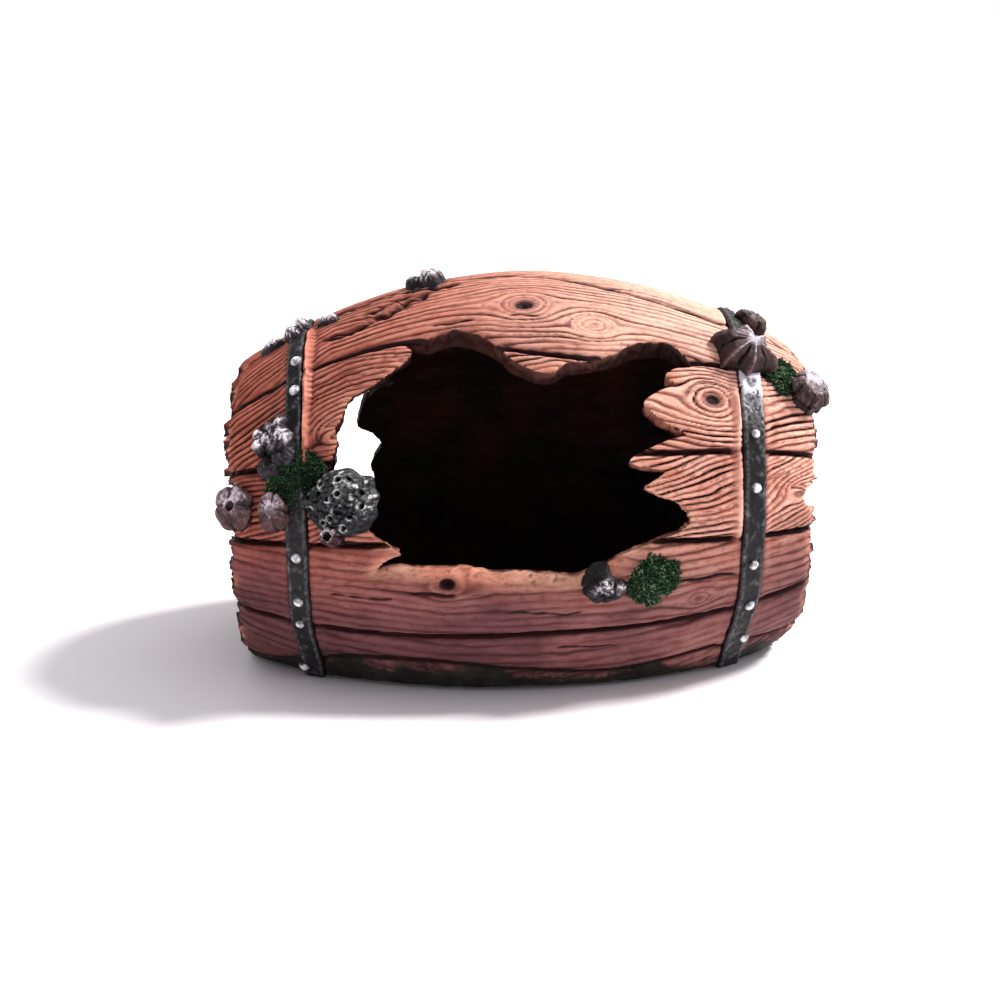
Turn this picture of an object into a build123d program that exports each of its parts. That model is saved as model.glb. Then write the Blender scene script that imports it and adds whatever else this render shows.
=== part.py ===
"""Resin cave ornament: a broken barrel lying on its side, with a large ragged opening in front.

Frame: X runs along the barrel, Y from front to back, Z up. The origin is the middle of the flat
face that the ornament stands on. Sizes are in millimetres and angles in degrees.

A place on the barrel's wall is (x, angle). The angle goes round the barrel: 0 is the front,
90 the top, 180 the back and 270 the underside.
"""

import math
import os

from build123d import *

# Driving dimensions of the barrel
HALF_LENGTH = 75.0
BELLY_RADIUS = 62.0  # measured upwards; the barrel is narrower from front to back
END_RADIUS = 39.0
DEPTH_RATIO = 0.8
AXIS_HEIGHT = 39.0
AXIS_RISE = 1.5  # the axis is this much higher at the right end than in the middle
WALL = 6.0
SEAM_GAP = 0.2
FIT_GAP = 0.12  # between the wall's inside and what is set into it
STATIONS = (-75.0, -50.0, -25.0, 0.0, 25.0, 50.0, 75.0)  # where cross-sections are drawn
BOND_LINE = 0.08  # between the wall's outside and what is bonded to it

# Floor and heads
FLOOR_THICKNESS = 5.0
HEAD_INNER_X = 66.0
HEAD_THICKNESS = 4.0
FLOOR_HALF_LENGTH = HEAD_INNER_X - 0.2
HEAD_BOARDS = 5
HEAD_BOARD_GAP = 0.3

# Hoops and their rivets
HOOP_X = {"left_hoop": -56.5, "right_hoop": 56.5}
HOOP_WIDTH = {"left_hoop": 5.4, "right_hoop": 6.0}
HOOP_PROUD = 1.0
HOOP_SUNK = 0.6
RIVET_RADIUS = 1.5
RIVET_HEIGHT = 1.1
RIVET_GAP = 0.05
RIVET_ANGLES = {
    "left_hoop": (-43, -23, -15, -1, 50, 62, 100, 122, 146, 168, 190, 212),
    "right_hoop": (-36, -22, -8, 15, 31, 51, 98, 120, 143, 165, 188, 210),
}

# Seams between staves, going round from under the front. Each is a curve through angles that are
# evenly spaced from the barrel's left end to its right end.
SEAMS = (
    (-76, -62, -76),
    (-60, -36, -29.5, -31.5, -35.5, -37.5, -52),
    (-26, -20, -24),
    (2, 3.5, -1),
    (27, 23, 27),
    (53.5, 57.8, 57.4, 50.5, 48.7, 53, 56),
    (82, 84, 85, 86, 79, 75, 80),
    (105, 108, 105),
    (130, 131, 130),
    (153, 155, 154),
    (178, 179, 180),
    (206, 203, 205),
    (225, 216, 225),
    (245, 242, 245),
    (270, 270, 270),
    (284, 298, 284),
)
# How far each stave's two ends stop short of the barrel's half length
END_SHORT = (
    (2.0, 1.5),
    (1.0, 0.0),
    (0.4, 0.8),
    (1.2, 0.3),
    (0.0, 0.0),
    (0.5, 0.6),
    (1.6, 1.0),
    (0.8, 1.8),
    (1.4, 0.5),
    (0.3, 1.2),
    (1.0, 0.2),
    (0.6, 1.4),
    (1.8, 0.7),
    (0.9, 1.1),
    (1.5, 1.5),
)

# The broken edge of the front opening
FRONT_OPENING = (
    # top edge, left to right
    (-30, 57), (-23, 58), (-17, 60), (-11, 56.5), (-6, 52), (-4, 48.5), (2, 44.5), (6, 44),
    (10, 47), (18.5, 49), (23, 51), (27, 54.5), (31.5, 56), (36, 57), (40, 53.5), (43, 51),
    # splintered tongues on the right, top to bottom
    (36.5, 48), (34, 45.5), (36.5, 43.5), (33, 41), (28, 37), (31, 34), (35.5, 31), (40, 29),
    (35, 27.5), (29, 25), (24, 22), (30.5, 20), (34, 19.5), (31, 17.5), (27.5, 15.5),
    (31.5, 13.5), (36, 12), (39, 9.5), (40.5, 6.5),
    # lower edge, right to left
    (36.5, 3.5), (25, -0.5), (19.5, -3), (11, -6), (6.5, -5), (-2.5, -4.2), (-10, -4),
    (-20, -3), (-33, -3), (-38, -4.5),
    # tongue and broken ends on the left, bottom to top
    (-35, -1), (-30.5, 1), (-34, 2.5), (-39, 6), (-43, 10), (-44, 15), (-48, 19), (-50.5, 23),
    (-47, 27), (-46, 31), (-47, 35), (-45, 38), (-44, 42), (-41, 44), (-36.5, 46), (-33, 48.5),
    (-28, 52), (-27, 54),
)  # fmt: skip

# The broken edge of the smaller way out at the back
REAR_OPENING = (
    (-33, 150), (-38.5, 151), (-43, 155), (-44, 160), (-45, 164), (-41.5, 167), (-38, 171),
    (-37.5, 173), (-40, 176), (-41.5, 179), (-40, 184), (-41, 189), (-43.5, 192), (-42, 196),
    (-46, 198), (-49, 195), (-52, 190), (-53, 183), (-51, 177), (-53, 170), (-52, 163),
    (-49, 157), (-46, 151), (-41, 147), (-36, 146),
)  # fmt: skip

# A bite out of the right-hand end of one front stave
END_BITE = ((80, 17), (74, 17.5), (72, 14), (70.5, 11), (73, 6.5), (80, 6))

# Staves that a hole divides, and the names of what is left of them
STUMPS = {4: ("left", "right"), 5: ("left", "middle", "right"), 10: ("left", "right")}

# Growths on the barrel: kind, x, angle, half sizes along X and round the wall, height
GROWTHS = {
    "hoop_barnacle_large": ("barnacle", 55.5, 63.0, 8.0, 7.0, 6.0),
    "hoop_barnacle_small": ("barnacle", 60.0, 83.0, 4.0, 3.6, 4.0),
    "rim_barnacle_right": ("barnacle", 72.5, 54.0, 5.2, 5.2, 6.0),
    "rim_barnacle_left": ("barnacle", -71.5, 11.0, 4.4, 5.0, 3.6),
    "left_barnacle": ("barnacle", -62.5, 9.5, 3.6, 4.6, 4.0),
    "left_coral": ("lump", -43.5, 12.5, 9.5, 9.5, 9.0),
    "coral_barnacle": ("barnacle", -46.0, 1.0, 2.6, 2.6, 3.6),
    "left_rock": ("lump", -64.0, 36.0, 7.5, 6.5, 5.0),
    "left_moss": ("lump", -57.5, 22.5, 7.5, 8.0, 4.0),
    "front_rock": ("lump", 18.5, -5.5, 6.5, 5.6, 4.0),
    "front_moss": ("lump", 31.0, -7.5, 6.0, 6.5, 2.6),
    "right_moss": ("lump", 65.5, 57.0, 5.0, 5.5, 2.4),
    "top_rock": ("lump", -24.5, 93.0, 5.4, 5.0, 4.6),
    "hoop_rock": ("lump", -56.5, 84.0, 4.6, 5.2, 4.4),
    "shoulder_rock": ("lump", -64.0, 82.0, 3.8, 4.0, 2.6),
    "stave_rock": ("lump", -47.5, 82.0, 3.4, 3.4, 2.2),
}


def radius(x):
    """Upward radius of the barrel's outside at x."""
    return BELLY_RADIUS - (BELLY_RADIUS - END_RADIUS) * (x / HALF_LENGTH) ** 2


def axis_height(x):
    return AXIS_HEIGHT + AXIS_RISE * x / HALF_LENGTH


def on_barrel(x, angle, offset=0.0):
    """The point at that angle, offset outwards from the barrel's outside."""
    r = radius(x) + offset
    a = math.radians(angle)
    return Vector(x, -DEPTH_RATIO * r * math.cos(a), axis_height(x) + r * math.sin(a))


def outward(x, angle):
    """Outward normal of the barrel's outside."""
    step = 0.1
    along = on_barrel(x + step, angle) - on_barrel(x - step, angle)
    around = on_barrel(x, angle + step) - on_barrel(x, angle - step)
    return along.cross(around).normalized()


def wall_plane(x, angle, offset=0.0, gap=0.0):
    """A plane on the wall or a gap above it, facing out, whose X runs along the barrel."""
    normal = outward(x, angle)
    ahead = on_barrel(x + 1, angle) - on_barrel(x - 1, angle)
    origin = on_barrel(x, angle, offset) + normal * gap
    return Plane(origin=origin, x_dir=ahead, z_dir=normal)


def above_ground(shape):
    """What is left of a shape above the face that the ornament stands on."""
    size = 4 * HALF_LENGTH
    return shape & Pos(0, 0, size / 2) * Box(size, size, size)


def seam_angle(index, x):
    """The seam's angle at x: a cubic between each two of its given angles."""
    angles = SEAMS[index]
    place = (x / HALF_LENGTH + 1) / 2 * (len(angles) - 1)
    i = min(int(place), len(angles) - 2)
    t = place - i
    start, end = angles[i], angles[i + 1]
    before = angles[i - 1] if i > 0 else 2 * start - end
    after = angles[i + 2] if i + 2 < len(angles) else 2 * end - start
    slope_in, slope_out = (end - before) / 2, (after - start) / 2
    bend = t * (1 - t)
    return start + (end - start) * t * t * (3 - 2 * t) + bend * (slope_in * (1 - t) - slope_out * t)


def stave_section(index, x):
    """A stave's cross-section at x: two arcs joined by two straight sides."""
    side = math.degrees(SEAM_GAP / 2 / radius(x))
    low = seam_angle(index, x) + side
    high = seam_angle(index + 1, x) - side
    middle = (low + high) / 2
    outside = ThreePointArc(*(on_barrel(x, a) for a in (low, middle, high)))
    inside = ThreePointArc(*(on_barrel(x, a, -WALL) for a in (high, middle, low)))
    sides = [Line(outside @ 1, inside @ 0), Line(inside @ 1, outside @ 0)]
    return make_face([outside, sides[0], inside, sides[1]])


def stave(index):
    """One whole stave, cut to its length."""
    short_left, short_right = END_SHORT[index]
    low, high = -HALF_LENGTH + short_left, HALF_LENGTH - short_right
    blank = loft([stave_section(index, x) for x in STATIONS])
    return blank & Pos((low + high) / 2, 0, 0) * Box(high - low, 300, 300)


def hole_through(outline, angle):
    """A prism with that outline, which goes through the wall square to it at the angle."""
    wall = on_barrel(0, angle)
    normal = outward(0, angle)
    plane = Plane(origin=wall, x_dir=(1, 0, 0), z_dir=normal)
    corners = [plane.to_local_coords(on_barrel(x, a)) for x, a in outline]
    edge = Polyline(*[(c.X, c.Y) for c in corners], close=True)
    reach = 3 * WALL
    return extrude(plane * make_face(edge), amount=reach, both=True)


def ellipse_at(x, offset):
    """The barrel's cross-section at x, grown by the offset."""
    r = radius(x) + offset
    plane = Plane(origin=(x, 0, axis_height(x)), x_dir=(0, 1, 0), z_dir=(1, 0, 0))
    return plane * Ellipse(DEPTH_RATIO * r, r)


def hoop_ring(name, outer, inner):
    """A hoop before it is cut off at the ground."""
    centre, half = HOOP_X[name], HOOP_WIDTH[name] / 2
    ends = (centre - half, centre + half)
    around = loft([ellipse_at(x, outer) for x in ends])
    hollow = loft([ellipse_at(x, inner) for x in ends])
    return around - hollow


def rivet(centre, angle):
    """A rivet's domed head, standing on the hoop."""
    ball = (RIVET_RADIUS**2 + RIVET_HEIGHT**2) / (2 * RIVET_HEIGHT)
    foot_angle = math.degrees(math.asin(1 - RIVET_HEIGHT / ball))
    head = Sphere(ball, arc_size1=foot_angle, align=(Align.CENTER, Align.CENTER, Align.MIN))
    return wall_plane(centre, angle, HOOP_PROUD, RIVET_GAP) * head


def barnacle(half_x, half_round, height):
    """A short volcano with a crater."""
    sunk = -1.5
    points = [
        (0, sunk),
        (half_x, sunk),
        (0.92 * half_x, 0.3 * height),
        (0.62 * half_x, 0.95 * height),
        (0.5 * half_x, height),
        (0.34 * half_x, 0.9 * height),
        (0.2 * half_x, 0.5 * height),
        (0, 0.45 * height),
    ]
    cone = revolve(Plane.XZ * make_face(Polyline(*points, close=True)), Axis.Z)
    return scale(cone, by=(1, half_round / half_x, 1))


def lump(half_x, half_round, height):
    """A rounded lump, sunk a little way into the wall."""
    sunk = 0.25 * height
    ball = scale(Sphere(1), by=(half_x, half_round, height + sunk))
    return Pos(0, 0, -sunk) * ball


def growth(name):
    kind, x, angle, half_x, half_round, height = GROWTHS[name]
    make = barnacle if kind == "barnacle" else lump
    return wall_plane(x, angle) * make(half_x, half_round, height)


def close_by(a, b):
    """True if two shapes' boxes meet."""
    box_a, box_b = a.bounding_box(), b.bounding_box()
    low_a, high_a = tuple(box_a.min), tuple(box_a.max)
    low_b, high_b = tuple(box_b.min), tuple(box_b.max)
    return all(low_a[i] <= high_b[i] and low_b[i] <= high_a[i] for i in range(3))


def without(shape, others):
    """The shape less whatever it meets of the others."""
    for other in others:
        if close_by(shape, other):
            shape = shape - other
    return shape


def largest(shape):
    return max(shape.solids(), key=lambda s: s.volume)


def make_staves(rings):
    """Every stave as a named node, cut by the openings, the hoops' seats and the ground."""
    cuts = {
        3: [(FRONT_OPENING, -8)],
        4: [(FRONT_OPENING, 13), (END_BITE, 12)],
        5: [(FRONT_OPENING, 40)],
        6: [(FRONT_OPENING, 68)],
        9: [(REAR_OPENING, 143)],
        10: [(REAR_OPENING, 167)],
        11: [(REAR_OPENING, 191)],
    }
    nodes = {}
    for index in range(len(SEAMS) - 1):
        number = index + 1
        board = above_ground(stave(index))
        for outline, angle in cuts.get(number, []):
            board = board - hole_through(outline, angle)
        board = without(board, rings)
        pieces = sorted((s for s in board.solids() if s.volume > 20), key=lambda s: s.center().X)
        places = STUMPS.get(number)
        if places:
            nodes.update({f"stave_{number:02d}_{place}": s for place, s in zip(places, pieces)})
        else:
            nodes[f"stave_{number:02d}"] = Compound(pieces) if len(pieces) > 1 else pieces[0]
    return nodes


def make_floor():
    """The flat slab that closes the underside."""
    hollow = loft([ellipse_at(x, -WALL - FIT_GAP) for x in STATIONS])
    return hollow & Pos(0, 0, FLOOR_THICKNESS / 2) * Box(2 * FLOOR_HALF_LENGTH, 200, FLOOR_THICKNESS)


def make_head(side, name):
    """One end's head, set in from the rim, as upright boards."""
    inner, outer = side * HEAD_INNER_X, side * (HEAD_INNER_X + HEAD_THICKNESS)
    disc = above_ground(loft([ellipse_at(x, -WALL - FIT_GAP) for x in sorted((inner, outer))]))
    box = disc.bounding_box()
    width = box.size.Y / HEAD_BOARDS
    nodes = {}
    for i in range(HEAD_BOARDS):
        middle = box.min.Y + width * (i + 0.5)
        slab = Pos(side * HEAD_INNER_X, middle, AXIS_HEIGHT) * Box(30, width - HEAD_BOARD_GAP, 200)
        nodes[f"{name}_board_{i + 1}"] = largest(disc & slab)
    return nodes


def make_growths(hoops, rivets):
    """The growths, each cut back to the wall, the hoops and those before it."""
    core = loft([ellipse_at(x, BOND_LINE) for x in STATIONS])
    nodes = {}
    for name in GROWTHS:
        shape = growth(name) - core
        nodes[name] = largest(without(shape, [*hoops, *rivets, *nodes.values()]))
    return nodes


def main():
    os.makedirs("parts", exist_ok=True)
    rings = {name: hoop_ring(name, HOOP_PROUD, -HOOP_SUNK) for name in HOOP_X}
    nodes = make_staves(list(rings.values()))
    nodes["floor_slab"] = make_floor()
    nodes.update(make_head(-1, "left_head"))
    nodes.update(make_head(1, "right_head"))
    rivets = []
    for name, ring in rings.items():
        nodes[name] = above_ground(ring)
        heads = [rivet(HOOP_X[name], a).solid() for a in RIVET_ANGLES[name]]
        nodes[f"{name}_rivets"] = Compound(heads)
        rivets.extend(heads)
    hoops = [hoop_ring(name, HOOP_PROUD + BOND_LINE, -HOOP_SUNK) for name in HOOP_X]
    nodes.update(make_growths(hoops, rivets))
    for name, shape in nodes.items():
        export_step(shape, f"parts/{name}.step")
    print(len(nodes), "nodes")


main()
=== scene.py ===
"""Looks of the resin cave ornament: a broken, hooped barrel with barnacles, coral, rock and moss.

Sizes here are in millimetres, and a mesh is turned to metres when it is made. A place on the barrel's
wall is (x, angle): x runs along the barrel, and the angle goes round it, 0 at the front, 90 at the top
and 180 at the back.
"""

import math
from collections import deque
from typing import NamedTuple

import bpy
import numpy as np
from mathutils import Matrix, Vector


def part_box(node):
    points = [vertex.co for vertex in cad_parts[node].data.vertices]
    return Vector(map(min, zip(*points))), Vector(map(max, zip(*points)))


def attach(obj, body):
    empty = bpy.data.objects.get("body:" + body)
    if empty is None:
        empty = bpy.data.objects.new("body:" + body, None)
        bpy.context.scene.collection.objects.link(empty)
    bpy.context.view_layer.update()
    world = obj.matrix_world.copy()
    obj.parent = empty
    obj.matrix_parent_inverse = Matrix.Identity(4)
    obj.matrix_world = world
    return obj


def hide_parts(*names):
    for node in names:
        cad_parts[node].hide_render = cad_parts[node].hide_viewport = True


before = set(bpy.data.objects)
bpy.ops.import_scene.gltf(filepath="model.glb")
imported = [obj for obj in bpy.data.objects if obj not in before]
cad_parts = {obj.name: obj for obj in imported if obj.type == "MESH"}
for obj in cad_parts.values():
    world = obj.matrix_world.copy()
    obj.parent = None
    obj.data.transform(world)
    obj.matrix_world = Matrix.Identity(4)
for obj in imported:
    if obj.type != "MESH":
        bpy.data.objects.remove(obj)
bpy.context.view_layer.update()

MM = 0.001  # a millimetre, in Blender's metres
FAR = 1e3  # stands for the distance to a hole that isn't there
SHARP_ANGLE = 60  # degrees between faces from which an edge is shaded sharp

# The barrel, as the CAD model has it
HALF_LENGTH = 75.0
BELLY_RADIUS = 62.0
END_RADIUS = 39.0
DEPTH_RATIO = 0.8
AXIS_HEIGHT = 39.0
AXIS_RISE = 1.5
WALL = 6.0
SEAM_GAP = 0.16
INNER_SEAM_GAP = 0.01  # the staves all but touch inside, so no light comes through
HOOP_PROUD = 1.0

# Each seam's angles, evenly spaced from the left end of the barrel to the right
SEAMS = (
    (-76, -62, -76),
    (-60, -36, -29.5, -31.5, -35.5, -37.5, -52),
    (-26, -20, -24),
    (2, 3.5, -1),
    (27, 23, 27),
    (53.5, 57.8, 57.4, 50.5, 48.7, 53, 56),
    (82, 84, 85, 86, 79, 75, 80),
    (105, 108, 105),
    (130, 131, 130),
    (153, 155, 154),
    (178, 179, 180),
    (206, 203, 205),
    (225, 216, 225),
    (245, 242, 245),
)
# How much shorter each stave is than the barrel, at its left end and its right
END_SHORT = (
    (2.0, 1.5), (1.0, 0.0), (0.4, 0.8), (1.2, 0.3), (0.0, 0.0), (0.5, 0.6), (1.6, 1.0),
    (0.8, 1.8), (1.4, 0.5), (0.3, 1.2), (1.0, 0.2), (0.6, 1.4), (1.8, 0.7),
)  # fmt: skip
# Outlines of the broken places, as (x, angle)
FRONT_OPENING = (
    (-30, 57), (-26, 57), (-23, 58), (-17, 60), (-11, 56.5), (-6, 52), (-4, 48.5), (-1, 46.5),
    (2, 44.5), (6, 44), (10, 47), (18.5, 49), (23, 51), (27, 54.5), (31.5, 56), (36, 57),
    (40, 53.5), (43, 51),
    (36.5, 47.8), (34, 45.5), (36.2, 43.8), (39, 43.2), (33, 41), (28, 37), (31, 34), (35.5, 31),
    (40, 29), (35, 27.8), (29, 25), (24, 22), (26, 21), (31, 20.2), (34, 19.4), (31, 17.5),
    (27.5, 15.5), (31.5, 13.8), (36, 12.3), (39, 9.5), (40.5, 6.5),
    (36.5, 3.5), (31, 1.8), (25, -0.5), (19.5, -3), (15, -5), (11, -6), (6.5, -5), (-2.5, -4.2),
    (-10, -4), (-14.5, -3), (-20.5, -3), (-26.5, -3), (-33, -3), (-38, -4.5),
    (-35, -1), (-30.5, 1), (-34, 2.6), (-37, 4.6), (-39, 6), (-39.5, 10), (-41, 14.5),
    (-44.5, 18.5), (-50, 23), (-47.5, 27), (-46, 31), (-47, 35), (-45, 38), (-44, 42), (-41, 44),
    (-36.5, 46), (-33, 48.5), (-29, 51.5), (-27.5, 54),
)  # fmt: skip
REAR_OPENING = (
    (-33, 150), (-38.5, 151), (-43, 155), (-44, 160), (-45, 164), (-41.5, 167), (-38, 171),
    (-37.5, 173), (-40, 176), (-41.5, 179), (-40, 184), (-41, 189), (-43.5, 192), (-42, 196),
    (-46, 198), (-49, 195), (-52, 190), (-53, 183), (-51, 177), (-53, 170), (-52, 163),
    (-49, 157), (-46, 151), (-41, 147), (-36, 146),
)  # fmt: skip
END_BITE = ((80, 17.5), (75, 17.5), (73, 16), (72, 14), (70.6, 11.5), (71.5, 8.5), (73.4, 6.4), (80, 6))


def hoop_line(node):
    """Where a hoop's middle is along the barrel, and half its width, from the CAD model."""
    low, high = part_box(node)
    return (low.x + high.x) / 2 / MM, (high.x - low.x) / 2 / MM


HOOPS = {node: hoop_line(node) for node in ("left_hoop", "right_hoop")}


def pinched(angle):
    """Where the left hoop is pinched by the wood beside it."""
    return step_up(angle, 12, 26) * step_down(angle, 76, 88)


def hoop_half(node, angle):
    """Half a hoop's width at an angle; the left one is pinched on its upper front."""
    half = HOOPS[node][1] - 0.1
    if node == "left_hoop":
        return half - 0.65 * pinched(angle)
    return half + 0 * angle


def hoop_middle(node, angle):
    """Where a hoop's middle is at an angle; both hoops splay outwards near the ground."""
    if node == "left_hoop":
        return HOOPS[node][0] - 0.5 * pinched(angle) + 2.2 * step_down(angle, -44, -18)
    return HOOPS[node][0] - 2.2 * step_down(angle, -42, -14)


# ---------------------------------------------------------------- noise and profiles


def make_noise(seed):
    """Smooth random values from about -1 to 1, as a function of up to three coordinates."""
    rng = np.random.default_rng(seed)
    size = 256
    order = np.tile(rng.permutation(size), 2)
    slopes = rng.normal(size=(size, 3))
    slopes /= np.linalg.norm(slopes, axis=1)[:, None]

    def noise(x, y, z=0.0):
        x, y, z = np.broadcast_arrays(*(np.asarray(c, float) for c in (x, y, z)))
        cells = [np.floor(c).astype(int) for c in (x, y, z)]
        parts = [c - i for c, i in zip((x, y, z), cells)]
        fades = [p * p * p * (p * (6 * p - 15) + 10) for p in parts]
        total = np.zeros(x.shape)
        for a in (0, 1):
            for b in (0, 1):
                for c in (0, 1):
                    i, j, k = ((q + d) % size for q, d in zip(cells, (a, b, c)))
                    slope = slopes[order[order[order[i] + j] + k]]
                    value = (
                        slope[..., 0] * (parts[0] - a)
                        + slope[..., 1] * (parts[1] - b)
                        + slope[..., 2] * (parts[2] - c)
                    )
                    for f, d in zip(fades, (a, b, c)):
                        value = value * (f if d else 1 - f)
                    total += value
        return total * 1.6

    return noise


def layered(noise, x, y, z=0.0, layers=3):
    """Several layers of noise, each finer and weaker than the last."""
    total, weight = 0.0, 1.0
    for _ in range(layers):
        total = total + weight * noise(x, y, z)
        x, y, z = x * 2.03 + 7.1, y * 2.03 + 3.7, z * 2.03 + 1.3
        weight /= 2
    return total


def ripple(noise, turn, size, seed):
    """Noise round a circle, so that it closes; size sets how fine it is."""
    return noise(np.cos(turn) * size, np.sin(turn) * size, seed)


def hump(distance, width):
    """1 at no distance, falling smoothly to nothing beyond the width."""
    return np.exp(-((distance / width) ** 2))


def dome(share, power=0.5):
    """Height of a dome, 1 in the middle and 0 from a share of 1 on."""
    return np.clip(1 - share**2, 0, 1) ** power


def step_up(value, low, high):
    """0 up to low and 1 from high on, with a smooth rise between."""
    t = np.clip((value - low) / (high - low), 0, 1)
    return t * t * (3 - 2 * t)


def step_down(value, low, high):
    """1 up to low and 0 from high on, with a smooth fall between."""
    return step_up(-value, -high, -low)


# ---------------------------------------------------------------- the barrel's wall


def radius(x):
    """Half the barrel's height at x."""
    return BELLY_RADIUS - (BELLY_RADIUS - END_RADIUS) * (x / HALF_LENGTH) ** 2


def axis_height(x):
    return AXIS_HEIGHT + AXIS_RISE * x / HALF_LENGTH


def wall_point(x, angle, offset=0.0):
    """The point in space of a place on the wall."""
    x, angle = np.broadcast_arrays(x, angle)
    r, a = radius(x) + offset, np.radians(angle)
    return np.stack([x, -DEPTH_RATIO * r * np.cos(a), axis_height(x) + r * np.sin(a)], -1)


def wall_normal(x, angle):
    x, angle = np.broadcast_arrays(x, angle)
    r, a = radius(x), np.radians(angle)
    slope = -2 * (BELLY_RADIUS - END_RADIUS) * x / HALF_LENGTH**2
    rise = AXIS_RISE / HALF_LENGTH
    along = np.stack([0 * a + 1, -DEPTH_RATIO * slope * np.cos(a), rise + slope * np.sin(a)], -1)
    around = np.stack([0 * a, DEPTH_RATIO * r * np.sin(a), r * np.cos(a)], -1)
    normal = np.cross(along, around)
    return normal / np.linalg.norm(normal, axis=-1, keepdims=True)


def degree_width(x, angle):
    """How many millimetres one degree covers round the wall."""
    a = np.radians(angle)
    return radius(x) * np.radians(1) * np.hypot(DEPTH_RATIO * np.sin(a), np.cos(a))


def seam_angle(index, x):
    """The seam's angle at x: a cubic between each two of its given angles."""
    angles = np.array(SEAMS[index], float)
    padded = np.concatenate([[2 * angles[0] - angles[1]], angles, [2 * angles[-1] - angles[-2]]])
    place = np.clip((x / HALF_LENGTH + 1) / 2, 0, 1) * (len(angles) - 1)
    i = np.minimum(place.astype(int), len(angles) - 2)
    t = place - i
    before, start, end, after = (padded[i + k] for k in range(4))
    slope_in, slope_out = (end - before) / 2, (after - start) / 2
    bend = t * (1 - t)
    return start + (end - start) * t * t * (3 - 2 * t) + bend * (slope_in * (1 - t) - slope_out * t)


def ground_angle(x, offset, at_back):
    """The angle at which the wall, offset inwards or outwards, meets the ground."""
    a = np.degrees(np.arcsin(np.clip(axis_height(x) / (radius(x) + offset), -1, 1)))
    return 180 + a if at_back else -a


# ---------------------------------------------------------------- outlines


def roughened(outline, seed, size, pitch=0.7):
    """A closed outline with small splinters along each side."""
    noise = make_noise(seed)
    points = np.array(outline, float)
    ends = np.roll(points, -1, axis=0)
    rows = []
    for start, end in zip(points, ends):
        count = max(2, int(np.linalg.norm(end - start) / pitch))
        t = np.arange(count)[:, None] / count
        rows.append(start + (end - start) * t)
    line = np.concatenate(rows)
    tangent = np.roll(line, -1, axis=0) - np.roll(line, 1, axis=0)
    tangent /= np.linalg.norm(tangent, axis=1)[:, None]
    across = np.stack([tangent[:, 1], -tangent[:, 0]], 1)
    push = layered(noise, line[:, 0] * 0.55, line[:, 1] * 0.9) * size
    line = line + across * push[:, None]
    for _ in range(3):
        line = (np.roll(line, 1, axis=0) + line * 2 + np.roll(line, -1, axis=0)) / 4
    return line


def distance_to(outline, x, y):
    """Distance to a closed outline, negative inside it, and the nearest point on it."""
    starts, ends = outline, np.roll(outline, -1, axis=0)
    shape = x.shape
    x, y = x.ravel(), y.ravel()
    distance = np.full(len(x), FAR)
    nearest = np.stack([x, y], 1)
    margin = 6.0
    low, high = outline.min(0) - margin, outline.max(0) + margin
    picked = np.flatnonzero((x > low[0]) & (x < high[0]) & (y > low[1]) & (y < high[1]))
    side = ends - starts
    length = (side**2).sum(1)
    for chunk in np.array_split(picked, max(1, len(picked) // 3000)):
        if not len(chunk):
            continue
        px, py = x[chunk, None], y[chunk, None]
        t = ((px - starts[:, 0]) * side[:, 0] + (py - starts[:, 1]) * side[:, 1]) / length
        t = np.clip(t, 0, 1)
        cx, cy = starts[:, 0] + t * side[:, 0], starts[:, 1] + t * side[:, 1]
        gap = np.hypot(px - cx, py - cy)
        best = gap.argmin(1)
        rows = np.arange(len(chunk))
        crossing = (starts[:, 1] > py) != (ends[:, 1] > py)
        rise = np.where(side[:, 1] == 0, 1e-9, side[:, 1])
        left_of = px < starts[:, 0] + (py - starts[:, 1]) / rise * side[:, 0]
        inside = (crossing & left_of).sum(1) % 2 == 1
        distance[chunk] = np.where(inside, -gap[rows, best], gap[rows, best])
        nearest[chunk] = np.stack([cx[rows, best], cy[rows, best]], 1)
    return distance.reshape(shape), nearest[:, 0].reshape(shape), nearest[:, 1].reshape(shape)


# ---------------------------------------------------------------- meshes


def add_object(name, data):
    """A new object in the scene."""
    added = bpy.data.objects.new(name, data)
    bpy.context.scene.collection.objects.link(added)
    return added


def add_mesh(name, points, faces, marks, material):
    """A mesh object: points in millimetres, faces as index arrays, and marks as values at the points."""
    mesh = bpy.data.meshes.new(name)
    mesh.vertices.add(len(points))
    mesh.vertices.foreach_set("co", (points * MM).astype(np.float32).ravel())
    corners = np.concatenate([f.ravel() for f in faces]).astype(np.int32)
    sizes = np.concatenate([np.full(len(f), f.shape[1]) for f in faces])
    starts = np.concatenate([[0], np.cumsum(sizes)[:-1]]).astype(np.int32)
    mesh.loops.add(len(corners))
    mesh.loops.foreach_set("vertex_index", corners)
    mesh.polygons.add(len(sizes))
    mesh.polygons.foreach_set("loop_start", starts)
    mesh.update(calc_edges=True)
    mesh.validate()
    mesh.shade_smooth()
    mesh.set_sharp_from_angle(angle=math.radians(SHARP_ANGLE))
    for mark, values in marks.items():
        layer = mesh.attributes.new(mark, "FLOAT", "POINT")
        layer.data.foreach_set("value", np.asarray(values, np.float32).ravel())
    mesh.materials.append(material)
    return add_object(name, mesh)


def stand_for(piece, node):
    """The piece takes the place of a CAD node."""
    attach(piece, "root")
    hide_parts(node)


def above_ground(points):
    """The points, with none left below the ground."""
    points[..., 2] = np.maximum(points[..., 2], 0)
    return points


def boundary_edges(quads, count):
    """The directed edges that only one face has."""
    pairs = np.stack([quads, np.roll(quads, -1, axis=1)], -1).reshape(-1, 2)
    codes = pairs[:, 0].astype(np.int64) * count + pairs[:, 1]
    back = pairs[:, 1].astype(np.int64) * count + pairs[:, 0]
    return pairs[~np.isin(codes, back)]


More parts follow.
